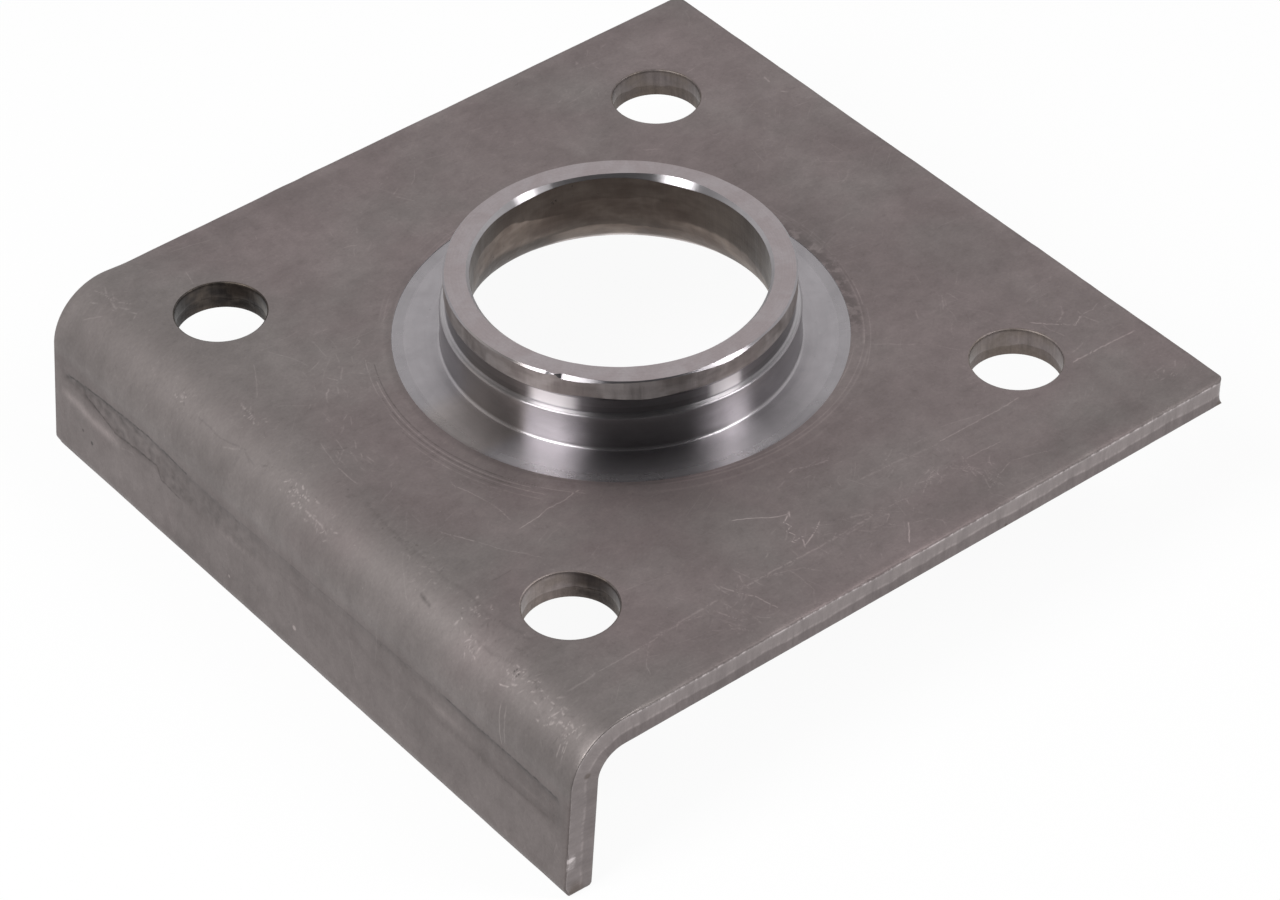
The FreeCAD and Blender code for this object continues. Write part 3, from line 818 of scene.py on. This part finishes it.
class Value:
    """A number that a material's nodes work out at each point, for use in ordinary sums."""

    def __init__(self, nodes, socket):
        self.nodes, self.socket = nodes, socket

    def __add__(self, other):
        return self.nodes.math("ADD", self, other)

    def __sub__(self, other):
        return self.nodes.math("SUBTRACT", self, other)

    def __rsub__(self, other):
        return self.nodes.math("SUBTRACT", other, self)

    def __mul__(self, other):
        return self.nodes.math("MULTIPLY", self, other)

    def grown(self, change, base=1.0):
        """The base where this mask is 0, and the base plus a change where it is 1."""
        return self.nodes.math("MULTIPLY_ADD", self, change, base)

    def span(self, low, high, out_low=0.0, out_high=1.0, kind="SMOOTHSTEP"):
        """This value mapped smoothly from one span to another, and clamped."""
        node = self.nodes.new("ShaderNodeMapRange", interpolation_type=kind)
        self.nodes.preset(node, {
            "From Min": low, "From Max": high, "To Min": out_low, "To Max": out_high})
        self.nodes.put(self, node.inputs["Value"])
        return Value(self.nodes, node.outputs[0])

    def even(self, low, high, out_low=0.0, out_high=1.0):
        """This value mapped along a straight line from one span to another, and clamped."""
        return self.span(low, high, out_low, out_high, "LINEAR")


class Nodes:
    """Small helpers for writing a node tree of a material or of the world."""

    def __init__(self, tree):
        self.tree = tree

    def new(self, kind, **values):
        node = self.tree.nodes.new(kind)
        for name, value in values.items():
            setattr(node, name, value)
        return node

    def preset(self, node, numbers):
        """Sets a node's sockets, by their names, to constants."""
        for name, number in numbers.items():
            node.inputs[name].default_value = number

    def put(self, value, socket):
        """Links an output to a socket, or sets the socket to a constant."""
        if isinstance(value, Value):
            value = value.socket
        if isinstance(value, bpy.types.NodeSocket):
            self.tree.links.new(value, socket)
        else:
            socket.default_value = value

    def fed(self, node, values):
        for socket, value in zip(node.inputs, values):
            self.put(value, socket)
        return node.outputs

    def math(self, operation, *values):
        return Value(self, self.fed(self.new("ShaderNodeMath", operation=operation), values)[0])

    def vector(self, operation, *values):
        return self.fed(self.new("ShaderNodeVectorMath", operation=operation), values)["Vector"]

    def measure(self, operation, *values):
        """A number worked out from vectors."""
        outputs = self.fed(self.new("ShaderNodeVectorMath", operation=operation), values)
        return Value(self, outputs["Value"])

    def mix(self, share, first, second):
        """A colour between two."""
        node = self.new("ShaderNodeMix", data_type="RGBA")
        self.put(share, node.inputs["Factor"])
        for value, name in ((first, "A"), (second, "B")):
            socket = next(s for s in node.inputs if s.name == name and s.type == "RGBA")
            self.put((*value, 1.0) if isinstance(value, tuple) else value, socket)
        return next(s for s in node.outputs if s.type == "RGBA")

    def between(self, share, first, second):
        """A number between two."""
        node = self.new("ShaderNodeMix", data_type="FLOAT")
        for value, name in ((share, "Factor"), (first, "A"), (second, "B")):
            self.put(value, node.inputs[name])
        return Value(self, node.outputs["Result"])

    def tinted(self, colour, level):
        """A colour made lighter or darker by a level."""
        node = self.new("ShaderNodeVectorMath", operation="SCALE")
        self.put(colour, node.inputs[0])
        self.put(level, node.inputs["Scale"])
        return node.outputs[0]

    def sees_background(self):
        """1 for rays that see the white background, and the camera's own rays.

        The background is there for the camera's, mirrored and refracted rays.
        """
        path = self.new("ShaderNodeLightPath").outputs
        seen = path["Is Camera Ray"]
        for name in ("Is Glossy Ray", "Is Transmission Ray"):
            seen = self.math("MAXIMUM", seen, path[name])
        return seen, path["Is Camera Ray"]


class Steel(Nodes):
    """The node tree of one kind of steel surface, which reads what the mesh carries."""

    def __init__(self, name, metallic=1.0):
        self.material = bpy.data.materials.new(name)
        self.material.use_nodes = True
        super().__init__(self.material.node_tree)
        self.shader = self.tree.nodes["Principled BSDF"]
        self.shader.inputs["Metallic"].default_value = metallic

    def read(self, name):
        return Value(self, self.new("ShaderNodeAttribute", attribute_name=name).outputs["Fac"])

    def on_sheet(self):
        """The place on the flat sheet, and its s, y and depth."""
        sheet = self.new("ShaderNodeAttribute", attribute_name="sheet").outputs["Vector"]
        outputs = self.fed(self.new("ShaderNodeSeparateXYZ"), [sheet])
        return sheet, *(Value(self, output) for output in outputs)

    def off_axis(self, sheet):
        """The way from the collar's axis, level with the plate."""
        away = self.vector("SUBTRACT", sheet, (COLLAR_X, COLLAR_Y, 0.0))
        return self.vector("MULTIPLY", away, (1.0, 1.0, 0.0))

    def noise(self, place, scale, detail, roughness, shift, distortion=0.0):
        """Noise over a place whose axes are scaled, as bumps per millimetre."""
        scales = scale if isinstance(scale, tuple) else (scale,) * 3
        node = self.new("ShaderNodeTexNoise")
        self.preset(node, {
            "Scale": 1.0, "Detail": detail, "Roughness": roughness, "Distortion": distortion})
        self.put(self.vector("MULTIPLY_ADD", place, scales, (*shift, 0.0)), node.inputs["Vector"])
        return Value(self, node.outputs["Fac"])

    def lines(self, along, per_mm, detail=3.0, roughness=0.7):
        """Noise along one length, such as the lines that a cutting tool leaves along a section."""
        node = self.new("ShaderNodeTexNoise", noise_dimensions="1D")
        self.preset(node, {"Scale": per_mm, "Detail": detail, "Roughness": roughness})
        self.put(along, node.inputs["W"])
        return Value(self, node.outputs["Fac"])

    def drifting(self, place):
        """A place moved sideways a little and slowly, so that long scratches aren't quite straight."""
        node = self.new("ShaderNodeTexNoise")
        self.preset(node, {"Scale": 0.05, "Detail": 1.0})
        self.put(place, node.inputs["Vector"])
        drift = self.vector("SUBTRACT", node.outputs["Color"], (0.5, 0.5, 0.5))
        return self.vector("ADD", place, self.tinted(drift, 6.0))

    def streaks(self, place, degrees, scale, low, shift):
        """Long thin scratches in one direction, from 0 to 1."""
        turned = self.new("ShaderNodeVectorRotate", rotation_type="Z_AXIS")
        turned.inputs["Angle"].default_value = math.radians(degrees)
        self.put(place, turned.inputs["Vector"])
        streak = self.noise(turned.outputs[0], (*scale, 1.0), 1.0, 0.5, shift, 0.15)
        return streak.span(low, low + 0.07)

    def rim_wear_and_glint(self, sheet, colour, upright, roughness):
        """A colour with a broken painted highlight along the rim's burr, partly bright worn metal."""
        breaks = self.noise(sheet, (0.9, 0.9, upright), 3.0, roughness, (6.0, 4.0))
        wear = self.read("wear").span(0.05, 0.9) * breaks.span(0.42, 0.62, 0.25, 1.0)
        return self.mix(wear * 0.8, colour, WORN_METAL_GLINT)

    def groove_round_collar(self, anisotropy):
        """Brushes the surface round the collar's axis."""
        self.preset(self.shader, {"Anisotropic": anisotropy, "Anisotropic Rotation": 0.25})
        where = self.new("ShaderNodeTexCoord").outputs["Object"]
        from_axis = self.vector("SUBTRACT", where, (COLLAR_X * MM, COLLAR_Y * MM, 0.0))
        around = self.vector("CROSS_PRODUCT", (0.0, 0.0, 1.0), from_axis)
        self.put(around, self.shader.inputs["Tangent"])

    def finish(self, colour, roughness, height, depth):
        """Gives the shader its colour, its roughness and a bump that is so many metres deep."""
        bump = self.new("ShaderNodeBump")
        self.preset(bump, {"Strength": 1.0, "Distance": depth})
        self.put(height, bump.inputs["Height"])
        for value, name in ((colour, "Base Color"), (roughness, "Roughness"), (bump.outputs[0], "Normal")):
            self.put(value, self.shader.inputs[name])
        return self.material


# Colours of the steel
SHEET_BROWN, SHEET_GREEN, LIP_BROWN = (0.197, 0.163, 0.162), (0.192, 0.171, 0.166), (0.172, 0.144, 0.140)
SHEAR_PALE, SHEAR_TORN = (0.250, 0.219, 0.216), (0.200, 0.173, 0.171)
PUNCH_SMOOTH, PUNCH_TORN, PUNCH_BLACK = (0.152, 0.130, 0.126), (0.125, 0.104, 0.096), (0.040, 0.035, 0.033)
# The second colour on the next line is a painted glint for the holes' rims.
PUNCH_BROWN, PUNCH_RIM_GLINT = (0.150, 0.122, 0.100), (0.35, 0.32, 0.30)
# The second colour on the next line is a painted highlight for the burr, partly bright worn metal.
STAIN_BROWN, WORN_METAL_GLINT = (0.085, 0.062, 0.048), (0.72, 0.66, 0.66)
TURNED_DARK, TURNED_PALE, TURNED_BROWN = (0.33, 0.312, 0.326), (0.37, 0.35, 0.366), (0.36, 0.328, 0.322)
# The next colour is a painted highlight for the turned faces, partly worn metal.
TURNED_GLINT_AND_WEAR = (0.7, 0.68, 0.69)
FACED_DARK, FACED_PALE = (0.31, 0.27, 0.275), (0.34, 0.305, 0.313)
# The bore's two colours on the next line are its own dark brown, darkened further with painted shade.
BORE_SHADE_DARK, BORE_SHADE_PALE = (0.061, 0.047, 0.040), (0.097, 0.079, 0.068)
NECK_DARK, NECK_PALE = (0.225, 0.2, 0.193), (0.345, 0.317, 0.31)


def mill_steel():
    """Bare rolled sheet: brown and grey-green patches, smudges, fine scratches and scuffs."""
    n = Steel("mill_steel")
    sheet, s, y, depth = n.on_sheet()
    flat = n.vector("MULTIPLY", sheet, (1.0, 1.0, 0.0))
    upper = depth.span(3.5, 2.5)
    patches = n.noise(sheet, 0.028, 3.0, 0.55, (3.1, 7.7), 0.4)
    clouds = n.noise(sheet, 0.06, 4.0, 0.6, (11.0, 2.0), 0.4)
    smudges = n.noise(sheet, (0.22, 0.26, 0.22), 5.0, 0.68, (5.0, 1.0), 0.2)
    grain = n.noise(sheet, 1.9, 3.0, 0.6, (0.0, 9.0))
    flecks = n.noise(sheet, (0.6, 0.8, 0.5), 5.0, 0.75, (15.0, 3.0), 0.3)
    rolled = n.noise(sheet, (0.035, 0.9, 0.5), 3.0, 0.6, (1.0, 4.0), 0.2)

    # Greener toward the fold, paler along its crease, with painted shade toward its near end that damps
    # the lamps' sheen there, and browner on the lip
    green = patches * 0.75 + clouds * 0.2 + s.span(-35.0, -62.0, 0.0, 0.2)
    colour = n.mix(green.span(0.38, 0.68), SHEET_BROWN, SHEET_GREEN)
    crease = s + (clouds - 0.5) * 5.0
    fold_tone = crease.span(-59.0, -62.5) * s.span(-77.0, -69.0)
    colour = n.tinted(colour, fold_tone.grown(y.span(-46.0, -66.0, 0.08, -0.04)))
    colour = n.mix(s.span(-72.5, -75.5) * 0.55, colour, LIP_BROWN)
    level = smudges.even(0.25, 0.75, 0.9, 1.09) * clouds.even(0.3, 0.7, 0.91, 1.08)
    level = level * grain.even(0.3, 0.7, 0.94, 1.06) * rolled.even(0.3, 0.7, 0.99, 1.01)
    level = level * flecks.span(0.56, 0.7, 1.0, 1.12) * flecks.span(0.44, 0.32, 1.0, 0.9)

    # Fine scratches in several directions, gathered in scuffed patches, and none on the fold
    warped = n.drifting(flat)
    fine = 0.0
    for degrees, scale, low, shift in (
            (8, (0.05, 2.8), 0.7, (1.0, 2.0)), (-37, (0.09, 3.2), 0.71, (8.0, 5.0)),
            (62, (0.12, 3.0), 0.71, (4.0, 12.0))):
        fine = n.math("MAXIMUM", fine, n.streaks(warped, degrees, scale, low, shift))
    scuffed = n.noise(sheet, 0.06, 2.0, 0.5, (21.0, 13.0)).span(0.42, 0.62)
    fine = fine * (scuffed * 0.8 + 0.2) * s.span(-64.0, -56.0)

    # Swirls that the facing tool left outside the faced ring, a pale halo, a shadow and blotches
    off_axis = n.off_axis(sheet)
    radius = n.measure("LENGTH", off_axis)
    off_centre = n.measure("LENGTH", n.vector("SUBTRACT", off_axis, (1.6, 1.1, 0.0)))
    swirls = n.lines(off_centre, 1.6, 2.0, 0.5).span(0.52, 0.66) * radius.span(46.5, 41.5)
    swirls = swirls * n.noise(sheet, 0.035, 1.0, 0.5, (17.0, 8.0)).span(0.45, 0.6)
    halo = radius.span(43.5, 41.0)
    ring_shadow = radius.span(42.3, 41.2) * s.span(-12.0, -20.0)
    blotches = n.noise(sheet, (0.4, 0.4, 0.0), 3.0, 0.65, (4.0, 6.0)).span(0.38, 0.52)
    blotches = blotches * radius.span(44.0, 41.6) * s.span(30.0, 37.0) * y.span(-32.0, -24.0)

    # Rubbed patches on the fold, specks, and the marks that the mesh carries
    fold_rub = n.noise(sheet, (0.5, 0.8, 0.3), 4.0, 0.7, (7.0, 1.0)).span(0.56, 0.72)
    fold_rub = fold_rub * s.span(-58.0, -63.0) * s.span(-73.0, -68.0) * y.span(-40.0, -68.0, 0.25, 1.0)
    specks = n.noise(sheet, 2.3, 1.0, 0.5, (5.0, 5.0)).span(0.73, 0.79)
    mark = n.read("mark")
    pale = n.math("MAXIMUM", mark, 0.0) * upper
    dark = n.math("MAXIMUM", mark * -1.0, 0.0) * upper
    for mask, change in (
            (fold_rub, 0.14), (swirls, 0.2), (halo, 0.05), (ring_shadow, -0.14), (blotches, -0.32),
            (specks, 0.22), (fine, 0.1), (pale, 1.05), (dark, -0.55)):
        level = level * mask.grown(change)
    colour = n.rim_wear_and_glint(sheet, n.tinted(colour, level), 0.5, 0.7)

    bright = n.math("MAXIMUM", n.math("MAXIMUM", fine, pale), fold_rub)
    rolled_rim = depth.span(0.02, 0.2) * upper
    roughness = smudges.even(0.25, 0.75, 0.5, 0.4) + clouds.even(0.3, 0.7, 0.04, -0.04)
    roughness = roughness - bright * 0.1 + fold_tone * 0.05 + rolled_rim * 0.2
    height = smudges * 0.7 + grain * 0.12 - (fine + dark) * 0.08
    return n.finish(colour, roughness, height, 0.00006)


def sheared_steel():
    """The cut edge: a smooth pale band under the burr and a darker, rougher band below it."""
    n = Steel("sheared_steel")
    sheet, s, _, depth = n.on_sheet()
    border = depth + (n.noise(sheet, (0.09, 0.09, 0.0), 4.0, 0.6, (4.0, 2.0)) - 0.5) * 2.2
    smear = n.noise(sheet, (0.7, 0.7, 0.12), 4.0, 0.65, (1.0, 8.0))
    cloud = n.noise(sheet, 0.09, 3.0, 0.6, (8.0, 8.0))
    grain = n.noise(sheet, 2.4, 3.0, 0.65, (0.0, 3.0))
    torn = border.span(3.4, 3.9) * s.span(-69.0, -63.0, 0.45, 1.0)
    seam = border.span(2.9, 3.3) * border.span(3.7, 3.4) * smear.span(0.4, 0.6)
    level = smear.even(0.25, 0.75, 0.9, 1.1) * grain.even(0.3, 0.7, 0.95, 1.05)
    level = level * cloud.even(0.3, 0.7, 0.93, 1.06) * s.span(-62.0, -76.0, 1.0, 0.86) * seam.grown(0.2)
    colour = n.tinted(n.mix(torn, SHEAR_PALE, SHEAR_TORN), level)

    # Brown stains: at the lip's near lower corner, at the plate's near corner and two on the edge
    stain = 0.0
    for place, reach in (((LIP_END + 1.2, RIGHT_Y, 2.4), 3.0), ((FAR_X - 0.8, RIGHT_Y, 5.6), 1.6),
                         ((23.4, RIGHT_Y, 5.7), 0.8), ((-70.2, RIGHT_Y, 3.2), 1.2)):
        away = n.measure("DISTANCE", sheet, place) + smear * (reach * 0.6)
        stain = n.math("MAXIMUM", stain, away.span(reach * 1.1, reach * 0.5))
    colour = n.rim_wear_and_glint(sheet, n.mix(stain * 0.6, colour, STAIN_BROWN), 0.3, 0.75)
    roughness = torn.span(0.0, 1.0, 0.38, 0.5) + smear.span(0.2, 0.8, 0.06, -0.06)
    height = smear * 0.6 + grain * torn.span(0.0, 1.0, 0.1, 0.35)
    return n.finish(colour, roughness, height, 0.00008)


def punched_steel():
    """A punched wall: burnished upper band with upright smears, torn band below, some brown."""
    n = Steel("punched_steel")
    sheet, _, _, depth = n.on_sheet()
    half = HOLE_SPACING / 2
    lip_right_hole = (-half, -half, THICKNESS / 2)

    def at_hole(x_side, y_side, elsewhere=0.0, there=1.0):
        away = n.measure("DISTANCE", sheet, (x_side * half, y_side * half, THICKNESS / 2))
        return away.span(16.0, 12.0, elsewhere, there)

    torn = n.read("profile").span(-0.15, 0.25)
    upright = n.noise(sheet, (1.1, 1.1, 0.1), 4.0, 0.65, (2.0, 5.0))
    rough = n.noise(sheet, (1.3, 1.3, 1.0), 5.0, 0.7, (9.0, 5.0))
    brown = n.noise(sheet, (0.12, 0.12, 0.2), 3.0, 0.6, (3.0, 9.0)).span(0.4, 0.65)
    colour = n.mix(at_hole(-1, 1), n.mix(torn, PUNCH_SMOOTH, PUNCH_TORN), PUNCH_BLACK)
    colour = n.tinted(colour, at_hole(1, -1, 1.0, 1.25))
    lip_right = at_hole(-1, -1)
    toward = n.measure("DOT_PRODUCT", n.vector("SUBTRACT", sheet, lip_right_hole), (0.94, -0.34, 0.0))
    colour = n.tinted(colour, 1.0 - lip_right + lip_right * toward.span(-1.0, 6.5, 1.7, 0.55))
    colour = n.mix(brown * 0.5, colour, PUNCH_BROWN)
    colour = n.tinted(colour, upright.even(0.25, 0.75, 0.82, 1.2) * rough.even(0.3, 0.7, 0.88, 1.12))
    # A painted glint on one side of each hole's rim, broken up by noise
    wear = n.read("wear") * n.noise(sheet, 0.5, 3.0, 0.7, (1.0, 1.0)).span(0.4, 0.65, 0.1, 1.0)
    colour = n.mix(wear * 0.35, colour, PUNCH_RIM_GLINT)
    roughness = n.math("MAXIMUM", torn.span(0.0, 1.0, 0.38, 0.52), depth.span(0.7, 0.3, 0.38, 0.55))
    height = upright * 0.5 + rough * torn.span(0.0, 1.0, 0.15, 0.9)
    return n.finish(colour, roughness, height, 0.0001)


def turned_steel():
    """Bright turned faces: fine lines round the collar, a relief band darkened with painted shade, painted
    highlights, stains and specks.
    """
    n = Steel("turned_steel")
    n.groove_round_collar(1.0)
    sheet, s, y, depth = n.on_sheet()
    profile = n.read("profile")
    above_underside = THICKNESS - depth
    radius = n.measure("LENGTH", n.off_axis(sheet))
    lines = n.lines(profile, 5.5).even(0.3, 0.7)
    broad = n.lines(profile, 0.9).even(0.35, 0.65)
    cloud = n.noise(sheet, 0.16, 4.0, 0.6, (2.0, 7.0), 0.5)
    stain = n.noise(sheet, (0.14, 0.14, 0.3), 4.0, 0.65, (12.0, 6.0), 0.4)
    specks = n.noise(sheet, 1.7, 1.0, 0.4, (7.0, 7.0)).span(0.76, 0.8)
    nicks = n.noise(sheet, 1.4, 1.0, 0.5, (3.0, 17.0)).span(0.77, 0.8)
    at_left = y.span(-11.5, -8.5) * y.span(8.0, 2.0) * s.span(-20.0, -26.0)
    colour = n.mix(at_left, n.mix(cloud, TURNED_DARK, TURNED_PALE), TURNED_BROWN)

    # The relief above the shoulder, darkened with painted shade: most in a lower band, less in a lighter
    # upper one with coarser lines
    relief = above_underside.span(SHOULDER_Z + 0.1, SHOULDER_Z + 0.3)
    relief = relief * above_underside.span(RELIEF_TOP + 0.9, RELIEF_TOP + 0.5)
    lower_relief_shade = relief * above_underside.span(SHOULDER_Z + 1.7, SHOULDER_Z + 1.3)
    chamfers = above_underside.span(RELIEF_TOP + 0.9, RELIEF_TOP + 1.2)
    outer_zone = radius.span(RING_RADIUS - 2.2, RING_RADIUS - 1.9)
    on_spigot = radius.span(SPIGOT_RADIUS + 0.3, SPIGOT_RADIUS + 0.1)
    level = lines.even(0.0, 1.0, 0.975, 1.02) * broad.even(0.0, 1.0, 0.985, 1.015)
    for mask, change in ((lower_relief_shade, -0.42), (relief - lower_relief_shade, -0.32), (outer_zone, -0.06),
                         (specks, -0.22), (nicks, 0.15), (chamfers, 0.12)):
        level = level * mask.grown(change)
    level = level * stain.even(0.3, 0.7, 0.9, 1.08) * on_spigot.grown(-0.14, 0.94)
    # Painted highlights, partly wear, that the mesh carries on the ring's edge, the shoulder, the relief
    # and the inner chamfer
    colour = n.mix(n.read("wear"), n.tinted(colour, level), TURNED_GLINT_AND_WEAR)
    roughness = cloud.span(0.3, 0.7, 0.247, 0.272) + outer_zone * 0.02
    roughness = roughness + on_spigot * 0.032 + chamfers * 0.04
    return n.finish(colour, roughness, lines + broad * 0.6, 0.0000015)


def faced_steel():
    """The collar's flat end face: pinkish grey, finely speckled, with faint lines."""
    n = Steel("faced_steel")
    sheet, *_ = n.on_sheet()
    lines = n.lines(n.read("profile"), 3.0).even(0.3, 0.7)
    cloud = n.noise(sheet, 0.2, 4.0, 0.6, (2.0, 7.0), 0.5)
    speckle = n.noise(sheet, 2.2, 3.0, 0.7, (7.0, 1.0))
    colour = n.mix(cloud.span(0.35, 0.65), FACED_DARK, FACED_PALE)
    level = lines.even(0.0, 1.0, 0.97, 1.03) * speckle.even(0.3, 0.7, 0.93, 1.07)
    return n.finish(n.tinted(colour, level), speckle.span(0.3, 0.7, 0.38, 0.46), speckle, 0.00002)


def drawn_steel():
    """The wall as it was drawn: dark brown, and in the bore darker still with painted shade, smeared up
    and down, pitted, with rubbed patches.
    """
    n = Steel("drawn_steel")
    n.groove_round_collar(0.6)
    sheet, s, y, depth = n.on_sheet()
    smear = n.noise(sheet, (0.6, 0.6, 0.1), 5.0, 0.7, (3.0, 3.0))
    band = n.noise(sheet, (0.05, 0.05, 0.45), 4.0, 0.65, (8.0, 3.0))
    patch = n.noise(sheet, (0.1, 0.1, 0.16), 3.0, 0.6, (13.0, 5.0))
    pits = n.noise(sheet, (1.2, 1.2, 0.6), 2.0, 0.5, (5.0, 15.0)).span(0.72, 0.78)
    outside = n.measure("LENGTH", n.off_axis(sheet)).span(29.0, 30.0)
    # The bore's own dark brown, darkened further with painted shade for the shadowed floor that it mirrors
    bore = n.mix(patch.span(0.35, 0.7), BORE_SHADE_DARK, BORE_SHADE_PALE)
    neck = n.mix(patch.span(0.4, 0.62), NECK_DARK, NECK_PALE)
    level = smear.even(0.25, 0.75, 0.85, 1.15) * band.even(0.25, 0.75, 0.86, 1.14)

    # Lighter parts of the bore: a patch at the left, the flare at the right and two strips at the
    # back. Turn is the angle round the axis in degrees, and edge the height with an unsteady border.
    turn = n.math("ARCTAN2", y - COLLAR_Y, s - COLLAR_X) * 57.3
    drift = (n.noise(sheet, 0.12, 3.0, 0.6, (1.0, 1.0)) - 0.5) * 2.5
    edge = THICKNESS - depth + drift
    above = edge - turn.span(76.0, 102.0, 13.2, 16.0)
    below = edge - turn.span(85.0, 118.0, 9.0, 11.6)
    left = above.span(0.2, -0.2) * below.span(-0.8, 0.6) * turn.span(68.0, 84.0) * turn.span(134.0, 120.0)
    right = edge.span(11.6, 10.8) * turn.span(38.0, 18.0) * turn.span(-60.0, -30.0)
    strip = edge.span(8.8, 8.2) * turn.span(20.0, 34.0) * turn.span(84.0, 70.0)
    crease = edge.span(15.2, 15.0) * turn.span(20.0, 38.0) * turn.span(76.0, 64.0)
    lighter = (left + right + strip * 0.9 + crease * 0.2) * patch.span(0.3, 0.6, 0.7, 1.1)
    level = level * lighter.grown(1.08) * pits.grown(-0.5)
    roughness = smear.span(0.25, 0.75, 0.4, 0.5) + outside * 0.07
    height = smear * 0.8 + band * 0.8 - pits * 0.6
    return n.finish(n.tinted(n.mix(outside, bore, neck), level), roughness, height, 0.0001)


# Studio: the dark zone's direction, how far it reaches and how dark it is, and the fill's level
DARK_ZONE = Vector((-0.52, -0.64, 0.56)).normalized()
DARK_FROM, DARK_TO, DARK_LEVEL = -0.05, 0.8, 0.07
FILL_LEVEL = 0.2
FLOOR_GLOW = 0.94
FLOOR_HALF = 3.0
FLOOR_GAP = 0.0001
# Each lamp's azimuth in degrees, its size and its power
LAMPS = {"left_softbox": (183.2, (0.5, 0.8), 14.2), "right_softbox": (-53, (0.28, 0.8), 7.5)}
LAMP_ELEVATION = 44
LAMP_DISTANCE = 1.2

# The photograph's camera: its focal length in pixels, its axes and its place
FOCAL_PIXELS, FRAME_PIXELS, SENSOR_WIDTH = 4910.6, 1280, 36.0
CAMERA_RIGHT = (0.776183, -0.630458, -0.007919)
CAMERA_UP = (0.416728, 0.503545, 0.756822)
CAMERA_BACK = (-0.473157, -0.590733, 0.653573)
CAMERA_PLACE = (-0.415665, -0.525423, 0.557592)


def add(name, data):
    item = bpy.data.objects.new(name, data)
    bpy.context.scene.collection.objects.link(item)
    return item


def area_lamps():
    """Two soft lamps that look at the origin."""
    elevation = math.radians(LAMP_ELEVATION)
    for name, (azimuth, size, power) in LAMPS.items():
        turn = math.radians(azimuth)
        lamp = bpy.data.lights.new(name, "AREA")
        lamp.shape = "RECTANGLE"
        lamp.size, lamp.size_y = size
        lamp.energy = power
        holder = add(name, lamp)
        toward = Vector((math.cos(turn) * math.cos(elevation), math.sin(turn) * math.cos(elevation),
                         math.sin(elevation)))
        holder.location = toward * LAMP_DISTANCE
        holder.rotation_mode = "QUATERNION"
        holder.rotation_quaternion = (-holder.location).to_track_quat("-Z", "Y")


def camera():
    data = bpy.data.cameras.new("camera")
    data.sensor_width = SENSOR_WIDTH
    data.lens = FOCAL_PIXELS * SENSOR_WIDTH / FRAME_PIXELS
    data.clip_start, data.clip_end = 0.05, 20.0
    holder = add("camera", data)
    axes = Matrix((CAMERA_RIGHT, CAMERA_UP, CAMERA_BACK)).transposed()
    holder.matrix_world = Matrix.Translation(CAMERA_PLACE) @ axes.to_4x4()
    bpy.context.scene.camera = holder


def studio_world():
    """White all round, with a dark zone overhead and behind the camera for the steel to mirror."""
    world = bpy.data.worlds.new("world")
    bpy.context.scene.world = world
    world.use_nodes = True
    n = Nodes(world.node_tree)
    sky = n.tree.nodes["Background"]
    sky.inputs["Color"].default_value = (1, 1, 1, 1)
    background, to_camera = n.sees_background()
    direction = n.new("ShaderNodeTexCoord").outputs["Generated"]
    zone = n.measure("DOT_PRODUCT", direction, DARK_ZONE).span(DARK_FROM, DARK_TO, 1.0, DARK_LEVEL)
    # Camera rays see plain white, mirrored ones see the studio, and all others a plain level
    seen = n.between(background, FILL_LEVEL, zone)
    n.put(n.between(to_camera, seen, 1.0), sky.inputs["Strength"])


def stage():
    """A plain pale floor, a white world and soft lamps."""
    z = cad_low[2] - FLOOR_GAP
    mesh = bpy.data.meshes.new("floor")
    corners = ((-1, -1), (1, -1), (1, 1), (-1, 1))
    mesh.from_pydata([(x * FLOOR_HALF, y * FLOOR_HALF, z) for x, y in corners], [], [(0, 1, 2, 3)])
    floor = add("floor", mesh)
    n = Steel("floor", metallic=0.0)
    n.preset(n.shader, {"Base Color": (0.8, 0.8, 0.8, 1), "Roughness": 0.9})
    glow = n.new("ShaderNodeEmission")
    share = n.new("ShaderNodeMixShader")
    background, _ = n.sees_background()
    n.fed(share, (background * FLOOR_GLOW, n.shader.outputs[0], glow.outputs[0]))
    n.put(share.outputs[0], n.tree.nodes["Material Output"].inputs["Surface"])
    mesh.materials.append(n.material)
    studio_world()
    area_lamps()


piece = build_piece()
for material in (mill_steel, sheared_steel, punched_steel, turned_steel, drawn_steel, faced_steel):
    piece.data.materials.append(material())
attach(piece, "root")
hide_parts("flange_plate")
camera()
stage()
bpy.context.scene.view_settings.view_transform = "Standard"
